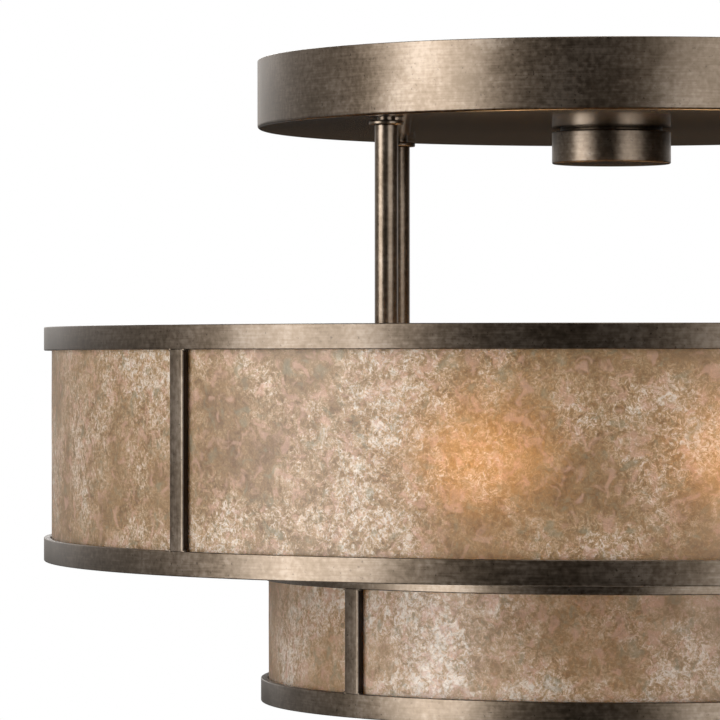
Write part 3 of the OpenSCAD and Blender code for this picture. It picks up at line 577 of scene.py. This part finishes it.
knob = {"wall": 2, "floor": 3, "boss": 10, "bore": 4.95, "lowEdge": 1.3, "topEdge": 0.8}
low, high = boxOf("canopy_knob")
knobR, knobLow, knobTop = high[0], low[2], high[2]
knobInner, knobFloor = knobR - knob["wall"], knobLow + knob["floor"]
outline = eased([
    (0, knobLow, 0), (knobR, knobLow, knob["lowEdge"]), (knobR, knobTop, knob["topEdge"]),
    (knobInner, knobTop, 0.4), (knobInner, knobFloor, 1), (knob["boss"], knobFloor, 1),
    (knob["boss"], knobTop, 0.4), (knob["bore"], knobTop, 0.3), (knob["bore"], knobFloor, 0),
    (0, knobFloor, 0)
], 5)
surface = revolve(outline, around["disc"])
newPiece("canopy_knob", [surface], roundBronze, "canopy_knob")

ring = {"thick": 4.4, "ease": 0.7}


def rolledRing(node):
    # A flat-sided ring between the node's own levels and radius
    low, high = boxOf(node)
    outline = ringOutline(high[0] - ring["thick"], high[0], low[2], high[2], ring["ease"])
    return revolve(outline, around["ring"])


newPiece("upper_top_ring", [rolledRing("upper_top_ring")], topRingShadedBronze)
newPiece("upper_bottom_ring", [rolledRing("upper_bottom_ring")], roundBronze)
newPiece("tier_bottom_ring", [rolledRing("tier_bottom_ring")], roundBronze)

lug = {"width": 18, "thick": 2, "leg": 5.5, "reach": 17}
low, high = boxOf("tier_top_ring")
tierR, tierTop = high[0], high[2]
tierInner = tierR - ring["thick"]
lugOuter, lugBend, lugEnd = tierR - ring["thick"] / 2, tierInner - lug["thick"], tierInner - lug["reach"]
outline = eased([
    (lugOuter, tierTop - lug["leg"], 0.3), (lugOuter, tierTop, 0), (lugEnd, tierTop, 0.3),
    (lugEnd, tierTop - lug["thick"], 0.3), (lugBend, tierTop - lug["thick"], 0.6),
    (lugBend, tierTop - lug["leg"], 0.3)
])


def acrossRadius(outline, width):
    # An anticlockwise outline in radius and height, carried across the radius over that width
    points, faces = extrude(outline, -width / 2, width / 2)
    x, z, y = points.T
    return np.stack([x, -y, z], 1), faces


lugs = [placed(acrossRadius(outline, lug["width"]), turn=90 * k) for k in range(4)]
newPiece("tier_top_ring", [rolledRing("tier_top_ring"), *lugs], roundBronze)

low, high = boxOf("step_plate")
plateLow, plateTop, plateR = low[2], high[2], high[0]
outline = ringOutline(lugEnd, plateR, plateLow, plateTop, 0.35)
newPiece("step_plate", [revolve(outline, around["ring"])], darkBronze)

low, high = boxOf("bottom_diffuser")
diffuserR = high[0]
outline = eased([(0, low[2], 0), (diffuserR, low[2], 0.5), (diffuserR, high[2], 0.5), (0, high[2], 0)])
surface = revolve(outline, around["disc"])
newPiece("bottom_diffuser", [surface], lowerMicaLit, "bottom_diffuser")
print("turned parts: made")

# Parts on the four arms and rods

armAngles = 46.1 + 90 * np.arange(4)
barAngles = 45.3 + 90 * np.arange(4)
low, high = boxOf("hanger_rod_1")
rodLow, rodTop = low[2], high[2]
rodR = np.hypot(*((low[:2] + high[:2]) / 2))
low, high = boxOf("rod_collars")
collarLow, collarTop = low[2], high[2]
armLow, armTop = (corner[2] for corner in boxOf("spider_arm_1"))
rod = {"radius": 7, "ease": 0.4}
rows = [
    (thread["bore"], rodLow), *wall(thread["outer"], rodLow, armTop, thread["pitch"]),
    (rod["radius"] - rod["ease"], armTop), (rod["radius"], armTop + rod["ease"]),
    (rod["radius"], collarLow - rod["ease"]), (rod["radius"] - rod["ease"], collarLow),
    *wall(thread["outer"], collarLow, rodTop, thread["pitch"]), (thread["bore"], rodTop)
]
rodSurface = revolve(rows, around["rod"], shape=threadShape)
for k, angle in enumerate(armAngles):
    newPiece(f"hanger_rod_{k + 1}", [placed(rodSurface, (rodR, 0, 0), angle)], tubeBronze)

collar = {"radius": 10.5, "disc": 2.6, "neck": 5.4, "bore": 5.15}
discTop = collarLow + collar["disc"]
outline = eased([
    (collar["bore"], collarLow, 0), (collar["radius"], collarLow, 0.9), (collar["radius"], discTop, 0.9),
    (collar["neck"], discTop, 0.3), (collar["neck"], collarTop, 0), (collar["bore"], collarTop, 0)
])
collarSurface = revolve(outline, around["collar"])
collars = [placed(collarSurface, (rodR, 0, 0), angle) for angle in armAngles]
newPiece("rod_collars", collars, tubeBronze)

washer = {"radius": 10.5, "thick": 1.5, "bore": 5.15}
washerLevels = (canopyFloor + canopy["sheet"], armLow - washer["thick"])
washerPair = [
    revolve(ringOutline(washer["bore"], washer["radius"], z, z + washer["thick"], 0.3), around["washer"])
    for z in washerLevels
]
washers = [placed(surface, (rodR, 0, 0), angle) for angle in armAngles for surface in washerPair]
newPiece("rod_washers", washers, zincSteel)

nut = {"flats": 17, "high": 5, "bore": 4.95, "chamferIn": 1.3, "chamferHigh": 0.9, "play": 0.2}
nutCorner = nut["flats"] / 2 / np.cos(np.pi / 6)


def hexNut():
    # A hexagon whose corners are cut by a cone at both faces: radius = the smaller of hexagon and cone
    cone = [(nutCorner - nut["chamferIn"] * (1 - s), nut["chamferHigh"] * s) for s in np.linspace(0, 1, 5)]
    crown = [(r, nut["high"] - z) for r, z in reversed(cone)]
    outline = [(nut["bore"], 0), *cone, *crown, (nut["bore"], nut["high"])]
    return revolve(outline, around["nut"],
                   shape=lambda r, z, a: np.minimum(r, hexRadius(a, nut["flats"])))


bracketLow = boxOf("mounting_bracket")[0][2]
hubLow = boxOf("spider_hub")[0][2]
cupWall = 1.5
clusterR = boxOf("cluster_body")[1][0]
coverLow, coverTop = (corner[2] for corner in boxOf("cluster_cover"))
holderNut = np.sqrt((clusterR - cupWall) ** 2 - nutCorner ** 2) - nut["play"]
lampZ = sum(corner[2] for corner in boxOf("lamp_cap_1")) / 2


def alongLamp(surface, angle):
    # From upright on the axis to lying out along a lamp
    return placed(laidOver(surface), (0, 0, lampZ), angle)


axisNutLevels = (bracketLow - nut["high"], armLow, hubLow - nut["high"], coverTop, coverLow - nut["high"])
rodNutLevels = (washerLevels[0] + washer["thick"], washerLevels[1] - nut["high"])
nuts = [placed(hexNut(), (0, 0, z)) for z in axisNutLevels]
for angle in armAngles:
    nuts += [placed(hexNut(), (rodR, 0, z), angle) for z in rodNutLevels]
    nuts.append(alongLamp(placed(hexNut(), (0, 0, holderNut - nut["high"])), angle))
newPiece("thread_nuts", nuts, zincSteel, sharp=25)


# Socket: its depth as a share of the head's height, its radius as one of the head's, what its flats take
# of that radius, and how far out its eased mouth still follows the hexagon
socket = {"deep": 0.6, "wide": 0.45, "flats": 0.95, "mouth": 1.3}


def socketScrew(shankR, headR, low, seat, top):
    # A round-headed screw with a hexagonal socket, inside which the radius is r times that of the hexagon
    socketR = headR * socket["wide"]
    socketFloor = top - (top - seat) * socket["deep"]
    outline = eased([
        (0, low, 0), (shankR, low, 0.4), (shankR, seat, 0), (headR, seat, 0.2), (headR, top, 0.9),
        (socketR, top, 0.1), (socketR, socketFloor, 0), (0, socketFloor, 0)
    ])

    def shape(r, z, a):
        inside = (z > seat) & (r < socketR * socket["mouth"])
        return np.where(inside, r * hexRadius(a, 2) * socket["flats"], r)

    return revolve(outline, around["screw"], shape=shape)


hubScrew = {"circle": 27, "shank": 2.5, "head": 4.5}
low, high = boxOf("hub_screws")
surface = socketScrew(hubScrew["shank"], hubScrew["head"], low[2], armTop, high[2])
screws = [placed(surface, (hubScrew["circle"], 0, 0), angle) for angle in armAngles]
newPiece("hub_screws", screws, zincSteel)

tierScrew = {"shank": 2, "head": 4}
low, high = boxOf("tier_screws")
surface = socketScrew(tierScrew["shank"], tierScrew["head"], low[2], plateTop, high[2])
screws = [placed(surface, (high[0] - tierScrew["head"], 0, 0), 90 * k) for k in range(4)]
newPiece("tier_screws", screws, zincSteel)

groundScrew = {"shank": 2, "head": 4.5, "headHigh": 2.4}
low, high = boxOf("ground_screw")
shankR, headR, headTop = groundScrew["shank"], groundScrew["head"], low[2] + groundScrew["headHigh"]
outline = eased([
    (0, low[2], 0), (headR, low[2], 0.7), (headR, headTop, 0.1), (shankR, headTop, 0),
    (shankR, high[2], 0.2), (0, high[2], 0)
])
surface = placed(revolve(outline, around["groundScrew"]), ((low[0] + high[0]) / 2, 0, 0))
newPiece("ground_screw", [surface], dyedSteel)

# Nodes that keep the CAD's shape, with the width of their eased edges
for node, finish, ease in (
        ("cluster_body", turnedBrass, 0.5), ("cluster_cover", turnedBrass, 0.3),
        ("spider_hub", darkBronze, 0.4), *((f"spider_arm_{k + 1}", darkBronze, 0.4) for k in range(4)),
        ("mounting_bracket", zincSteel, 0.3), ("upper_panel_clips", zincSteel, 0.12),
        ("tier_panel_clips", zincSteel, 0.12), ("lead_ties", blackNylon, 0.2)):
    dressNode(node, finish, ease)
print("arms and rods: made")

# Lamps and their holders

holder = {
    "seat": 0.4, "long": 36, "wideLong": 24, "wide": 18.5, "mouth": 16.5, "bore": 13.3, "boreLong": 25,
    "neck": 4.9, "neckLong": 10, "wireBore": 3
}
back = clusterR + holder["seat"]
front = back + holder["long"]
step = back + holder["wideLong"]
boreFloor = front - holder["boreLong"]
outline = eased([
    (holder["wireBore"], back - holder["neckLong"], 0), (holder["neck"], back - holder["neckLong"], 0.3),
    (holder["neck"], back, 0), (holder["wide"], back, 1.5), (holder["wide"], step, 1.2),
    (holder["mouth"], step, 0.4), (holder["mouth"], front, 1), (holder["bore"], front, 0.8),
    (holder["bore"], boreFloor, 0.5), (holder["wireBore"], boreFloor, 0.3)
])
holderSurface = revolve(outline, around["holder"])

cap = {
    "radius": 13.1, "depth": 0.7, "pitch": 3.6, "wall": 0.5, "long": 21, "floor": 2, "seat": 0.8,
    "tip": 4.5, "tipLong": 3, "tipFlat": 0.8,  # share of the tip's radius
    "face": 0.86, "shoulder": 0.96,  # shares of the radius, below the thread
    "shoulderHigh": 0.8, "threadFrom": 1.6
}
capR, capInner = cap["radius"], cap["radius"] - cap["wall"] - cap["depth"]
capStart = boreFloor + cap["seat"]
capFace = capStart + cap["tipLong"]
capEnd = capFace + cap["long"]
outline = [
    (0, capStart), (cap["tip"] * cap["tipFlat"], capStart),
    (cap["tip"], capStart + cap["tipLong"] / 2), (cap["tip"], capFace),
    (capR * cap["face"], capFace), (capR * cap["shoulder"], capFace + cap["shoulderHigh"]),
    *wall(capR, capFace + cap["threadFrom"], capEnd, cap["pitch"], 12),
    (capInner, capEnd), (capInner, capFace + cap["floor"]), (0, capFace + cap["floor"])
]
capSurface = revolve(outline, around["lamp"], shape=threaded(capR, cap["depth"], cap["pitch"]))

bulb = {"radius": 30, "neck": 12.4, "long": 84, "tuck": 6, "wall": 0.9}
glassStart = capEnd - bulb["tuck"]


def bulbOutline(neckR, bulbR, rows=24):
    # Along the flank, radius = neck + (bulb - neck)(3s^2 - 2s^3), then a quarter circle to the axis
    centre = bulb["long"] + bulb["tuck"] - bulb["radius"]
    x = np.linspace(0, centre, rows)
    s = np.clip((x - bulb["tuck"]) / (centre - bulb["tuck"]), 0, 1)
    flank = np.stack([neckR + (bulbR - neckR) * s * s * (3 - 2 * s), glassStart + x], 1)
    a = np.linspace(0, np.pi / 2, rows)[1:]
    end = np.stack([bulbR * np.cos(a), glassStart + centre + bulbR * np.sin(a)], 1)
    end[-1, 0] = 0
    return np.concatenate([flank, end])


outer = bulbOutline(bulb["neck"], bulb["radius"])
inner = bulbOutline(bulb["neck"] - bulb["wall"], bulb["radius"] - bulb["wall"])
glassSurface = revolve(np.concatenate([outer, inner[::-1]]), around["lamp"])
for k, angle in enumerate(armAngles):
    lampBody = f"lamp_{k + 1}"
    for part, surface, finish, body in (
            ("holder", holderSurface, glazedPorcelain, "root"), ("cap", capSurface, turnedBrass, lampBody),
            ("glass", glassSurface, litGlass, lampBody)):
        newPiece(f"lamp_{part}_{k + 1}", [alongLamp(surface, angle)], finish, body)
print("lamps: made")

# Bars, panels, ledge

bar = {
    "width": 12, "thick": 4.4, "frontEase": 1.1, "backEase": 0.3,
    "beadWide": 1.7, "beadHigh": 1.3, "beadOut": 0.2  # the weld beads at its corners
}


def barSurface(outerR, low, high):
    # A flat bar between two rings, with its front edges rounded
    half, r = bar["width"] / 2, outerR - bar["thick"]
    outline = eased([
        (r, -half, bar["backEase"]), (outerR, -half, bar["frontEase"]),
        (outerR, half, bar["frontEase"]), (r, half, bar["backEase"])
    ])
    return extrude(outline, low, high)


m = np.linspace(-np.pi / 2, np.pi / 2, 9)
outline = np.stack([bar["beadWide"] * np.cos(m), bar["beadHigh"] * np.sin(m)], 1)
bead = revolve(outline, around["bead"])
for tier in ("upper", "tier"):
    low, high = boxOf(f"{tier}_bars")
    outerR = boxOf(f"{tier}_top_ring")[1][0]
    bars = [placed(barSurface(outerR, low[2], high[2]), turn=angle) for angle in barAngles]
    bars += [placed(bead, (outerR - bar["beadWide"] + bar["beadOut"], side * bar["width"] / 2, z), angle)
             for angle in barAngles for side in (-1, 1) for z in (low[2], high[2])]
    newPiece(f"{tier}_bars", bars, barBronze)

panel = {
    "thick": 1.6, "joint": 1, "gap": 0.3, "rows": 25, "columns": 181, "wave": 0.1,
    "waves": ((23, 19, 0), (37, -13, 1), (61, 9, 2))  # each a count round the light, a height and a start
}


def panelRelief(r, z, a):
    # Pressed sheet lies a little uneven: radius + wave / 3 times (the sum of three sines of count times
    # angle + z / height + start, less 3), which is never more than the radius
    total = sum(np.sin(count * a + z / height + start) for count, height, start in panel["waves"])
    return r + panel["wave"] / 3 * (total - 3)


def panelSurface(outerR, low, high, start):
    # A curved sheet that fills the quarter after a bar
    inner = outerR - panel["thick"]
    heights = np.linspace(low, high, panel["rows"])
    outline = [(outerR, z) for z in heights] + [(inner, z) for z in heights[::-1]]
    joint = np.degrees(np.arcsin(panel["joint"] / 2 / outerR))
    return revolve(outline, panel["columns"], (start + joint, start + 90 - joint), panelRelief)


sides = dict(zip(("back", "left", "front", "right"), barAngles))
for tier, mica in (("upper", upperMicaShaded), ("tier", lowerMicaLit)):
    outerR = boxOf(f"{tier}_top_ring")[1][0] - ring["thick"] - panel["gap"]
    for side, start in sides.items():
        node = f"{tier}_panel_{side}"
        low, high = boxOf(node)
        newPiece(node, [panelSurface(outerR, low[2], high[2], start)], mica)

ledge = {
    "thick": 1.5, "under": 8.5,  # how far it reaches under the disc
    "tabWide": 10, "tabThick": 0.8, "tabAngle": 24, "tabUp": 0.1
}
low, high = boxOf("diffuser_ledge")
outline = ringOutline(diffuserR - ledge["under"], high[0], low[2], low[2] + ledge["thick"], 0.3)
tabR = tierInner - panel["gap"] - panel["thick"] - panel["gap"]
tabInner, half = tabR - ledge["tabThick"], ledge["tabWide"] / 2
tabOutline = eased([(tabInner, -half, 0.2), (tabR, -half, 0.2), (tabR, half, 0.2), (tabInner, half, 0.2)])
tab = extrude(tabOutline, low[2] + ledge["tabUp"], high[2])
tabs = [placed(tab, turn=angle + side * ledge["tabAngle"]) for angle in barAngles + 45 for side in (-1, 1)]
newPiece("diffuser_ledge", [revolve(outline, around["ring"]), *tabs], darkBronze)
print("bars, panels and ledge: made")

# Leads, wire nuts, ties, grommet

lead = {
    "radius": 1.1, "spread": 1.5, "bend": 9, "startBack": 66, "nutPitch": 16, "nutRise": 6.3, "rise": 12,
    "sag": 11, "holeR": 20, "tail": 8, "tiedGap": 2.9, "step": 3,
    "fanLong": 75,  # the stretch over which the three part for their wire nuts
    "arm": 2  # counted from 0
}
leadStep = 2 * lead["bend"] + 2 * lead["radius"]
nutR = rodR - lead["startBack"]
nutZ = canopyFloor + canopy["sheet"] + lead["nutRise"]
tiedZ = armLow - lead["tiedGap"]
hubR = boxOf("spider_hub")[1][0]
loopZ = rodLow - lead["sag"]
corners = [
    (nutR, nutZ), (nutR + leadStep, nutZ), (rodR - leadStep, rodTop + lead["rise"]),
    (rodR, rodTop + lead["rise"]), (rodR, loopZ), (rodR - leadStep, loopZ),
    (rodR - leadStep, tiedZ), (hubR + lead["bend"], tiedZ),
    (lead["holeR"], coverTop + leadStep), (lead["holeR"], coverLow - lead["tail"])
]
eases = [0, *([lead["bend"]] * (len(corners) - 2)), 0]
route = eased([(*corner, ease) for corner, ease in zip(corners, eases)], 8)
stretches = [route[:1]]
for a, b in zip(route[:-1], route[1:]):
    count = max(2, int(np.linalg.norm(b - a) / lead["step"]))
    stretches.append(np.linspace(a, b, count)[1:])
route = np.concatenate(stretches)
leadTurn = armAngles[lead["arm"]]


def leadSurface(k):
    # Each lead keeps its corner of the bundle, and fans out to its own wire nut over the first stretch, by
    # s^2 (3 - 2s) of the way. k is -1, 0 or 1.
    walked = np.concatenate([[0], np.cumsum(np.linalg.norm(np.diff(route, axis=0), axis=1))])
    s = np.clip(1 - walked / lead["fanLong"], 0, 1)[:, None]
    fan = s * s * (3 - 2 * s)
    along = np.gradient(route, axis=0)
    along /= np.linalg.norm(along, axis=1, keepdims=True)
    across = np.stack([-along[:, 1], along[:, 0]], 1)
    side = np.radians(270 + 120 * k)
    flat = route + across * lead["spread"] * np.sin(side) * (1 - fan)
    y = lead["spread"] * np.cos(side) * (1 - fan) + k * lead["nutPitch"] * fan
    path = np.stack([flat[:, 0], y[:, 0], flat[:, 1]], 1)
    return placed(sweep(path, lead["radius"], around["lead"]), turn=leadTurn)


for k, (name, colour) in enumerate((("live", "Black"), ("neutral", "White"), ("earth", "Green")), -1):
    newPiece(f"{name}_lead", [leadSurface(k)], pvc[colour])

wireNut = {
    "long": 22, "base": 6, "skirt": 4, "waistIn": 0.9, "waistUp": 6, "tip": 3, "crown": 0.5,
    "ribs": 12, "ribDepth": 0.06, "ribsFrom": 4.5, "ribsShort": 1.5
}
outline = eased([
    (0, 0, 0), (wireNut["base"], 0, 0.5), (wireNut["base"], wireNut["skirt"], 0.5),
    (wireNut["base"] - wireNut["waistIn"], wireNut["waistUp"], 1),
    (wireNut["tip"], wireNut["long"] - wireNut["crown"], 1.5), (0, wireNut["long"], 0)
], 6)


def ribbed(r, z, a):
    # Shallow grip ribs over the cone, none on the skirt: radius times (1 + depth cos(ribs times angle))
    inside = (z > wireNut["ribsFrom"]) & (z < wireNut["long"] - wireNut["ribsShort"])
    return np.where(inside, r * (1 + wireNut["ribDepth"] * np.cos(wireNut["ribs"] * a)), r)


points, faces = revolve(outline, around["wireNut"], shape=ribbed)
x, y, z = points.T
nutLaid = np.stack([-z, y, x], 1), faces
wireNuts = [placed(nutLaid, (nutR, k * lead["nutPitch"], nutZ), leadTurn) for k in (-1, 0, 1)]
newPiece("wire_nuts", wireNuts, mouldedOrange)

grommet = {"bore": 4, "thick": 1.2, "lip": 1.5, "play": 0.05}
hole = grommet["bore"] + grommet["thick"]
sleeve, lipR, lipTop = hole - grommet["play"], hole + grommet["lip"], coverTop + grommet["thick"]
outline = eased([
    (grommet["bore"], coverLow, 0.2), (sleeve, coverLow, 0), (sleeve, coverTop, 0),
    (lipR, coverTop, 0.5), (lipR, lipTop, 0.5), (grommet["bore"], lipTop, 0.5)
])
grommetSurface = placed(revolve(outline, around["grommet"]), (lead["holeR"], 0, 0), leadTurn)
newPiece("cover_grommet", [grommetSurface], blackRubber)
print("leads: made")

# Floor, world and lights

studio = {
    "floorZ": -1.05, "floorR": 7.0, "fadeFrom": 0.7, "fadeTo": 1.9,  # metres
    "floorSides": 96,
    "floorColour": "#e4e2de",
    "floorLift": "#8c8c8c",  # what the camera sees added to it, so that it is as white as the background
    "aimZ": -0.2,  # metres, the height the softboxes face
    # degrees left of the camera, degrees up, metres away, wide, high, radiance
    "left": (56.5, 4, 2.1, 1.25, 1.8, 4.3),
    "right": (-38, 0, 2.1, 1.5, 1.7, 1.9),
    "top": (-12, 50, 2.2, 1.6, 0.9, 2.4),
    "side": (112, 0, 2.1, 2.4, 1.7, 0.2),
    "back": (180, 30, 2.6, 2.0, 1.2, 4.0),
    # The room as the bronze mirrors it: share of the way from front to back, and its grey
    "room": [(0, "#1c1610"), (0.5, "#3a322a"), (0.75, "#5a544e"), (0.9, "#b0aeac"), (0.985, "#d4d0cc"),
             (0.996, "#46382a")],
    "horizon": (-0.08, 0.12),  # height of the direction over which the room grows lighter
    "roomLight": (0.22, 1.6),  # its strength below and above the horizon
}


def addLight(name, angle, up, away, wide, high, radiance):
    # A softbox that faces the light's middle. Power = radiance times pi times area.
    data = bpy.data.lights.new(name, "AREA")
    data.shape = "RECTANGLE"
    data.size = wide
    data.size_y = high
    data.energy = radiance * np.pi * wide * high
    lamp = bpy.data.objects.new(name, data)
    a, e = np.radians(angle), np.radians(up)
    flatAway = np.cos(e) * away
    lamp.location = (-np.sin(a) * flatAway, -np.cos(a) * flatAway, np.sin(e) * away + studio["aimZ"])
    lamp.rotation_euler = (np.pi / 2 - e, 0, -a)
    lamp.visible_camera = False
    bpy.context.scene.collection.objects.link(lamp)


for name in ("left", "right", "top", "side", "back"):
    addLight(name + "Softbox", *studio[name])

# White to the camera and through the mica. All else sees a plain room.
world = bpy.data.worlds.new("studio")
bpy.context.scene.world = world
world.use_nodes = True
tree = world.node_tree
tree.nodes.clear()
direction = addNode(tree, "TexCoord", output="Generated")
heading = addNode(tree, "SeparateXYZ", {}, {0: direction}).node.outputs
backward = addNode(tree, "MapRange", {}, {0: heading["Y"], 1: -1, 2: 1, 3: 0, 4: 1})
room = addNode(tree, "ValToRGB", {"stops": studio["room"]}, {"Fac": backward})
start, end = studio["horizon"]
dim, bright = studio["roomLight"]
lightness = addNode(tree, "MapRange", {}, {0: heading["Z"], 1: start, 2: end, 3: dim, 4: bright})
room = addNode(tree, "Mix", {"data_type": "RGBA", "blend_type": "MULTIPLY"}, {
    0: 1, 6: room, 7: lightness}, 2)
rays = addNode(tree, "LightPath").node.outputs
white = addNode(tree, "Math", {"operation": "MAXIMUM"}, {
    0: rays["Is Camera Ray"], 1: rays["Is Transmission Ray"]})
shown = addNode(tree, "Mix", {"data_type": "RGBA"}, {0: white, 6: room, 7: (1, 1, 1, 1)}, 2)
addNode(tree, "OutputWorld", {}, {"Surface": addNode(tree, "Background", {}, {"Color": shown})})

# Pale floor: it fades out with distance for all but diffuse rays, and is clear from below
floorMaterial = bpy.data.materials.new("paleFloor")
floorMaterial.use_nodes = True
tree = floorMaterial.node_tree
tree.nodes.clear()
place = addNode(tree, "TexCoord", output="Object")
away = addNode(tree, "VectorMath", {"operation": "LENGTH"}, {0: place}, "Value")
fade = addNode(tree, "MapRange", {}, {0: away, 1: studio["fadeFrom"], 2: studio["fadeTo"], 3: 0, 4: 1})
below = addNode(tree, "NewGeometry", output="Backfacing")
cameraRay = addNode(tree, "LightPath", output="Is Camera Ray")
diffuseRay = addNode(tree, "LightPath", output="Is Diffuse Ray")
kept = addNode(tree, "MapRange", {}, {0: diffuseRay, 3: 1, 4: 0})
faded = addNode(tree, "Math", {"operation": "MULTIPLY"}, {0: fade, 1: kept})
clear = addNode(tree, "Math", {"operation": "MAXIMUM"}, {0: faded, 1: below})
pale = addNode(tree, "BsdfDiffuse", {}, {"Color": toLinear(studio["floorColour"])})
lift = addNode(tree, "Emission", {}, {
    "Strength": cameraRay, "Color": toLinear(studio["floorLift"])})
lit = addNode(tree, "AddShader", {}, {0: pale, 1: lift})
through = addNode(tree, "BsdfTransparent")
shown = addNode(tree, "MixShader", {}, {0: clear, 1: lit, 2: through})
addNode(tree, "OutputMaterial", {}, {"Surface": shown})
floorMesh = bpy.data.meshes.new("floor")
floorSides, floorR, floorZ = studio["floorSides"], studio["floorR"], studio["floorZ"]
a = np.linspace(0, 2 * np.pi, floorSides, endpoint=False)
floorPoints = np.stack([floorR * np.cos(a), floorR * np.sin(a), np.full(floorSides, floorZ)], 1)
floorMesh.from_pydata(floorPoints.tolist(), [], [list(range(floorSides))])
floorMesh.materials.append(floorMaterial)
floor = bpy.data.objects.new("floor", floorMesh)
bpy.context.scene.collection.objects.link(floor)
bpy.context.scene.view_settings.view_transform = "Standard"
print("studio: set")
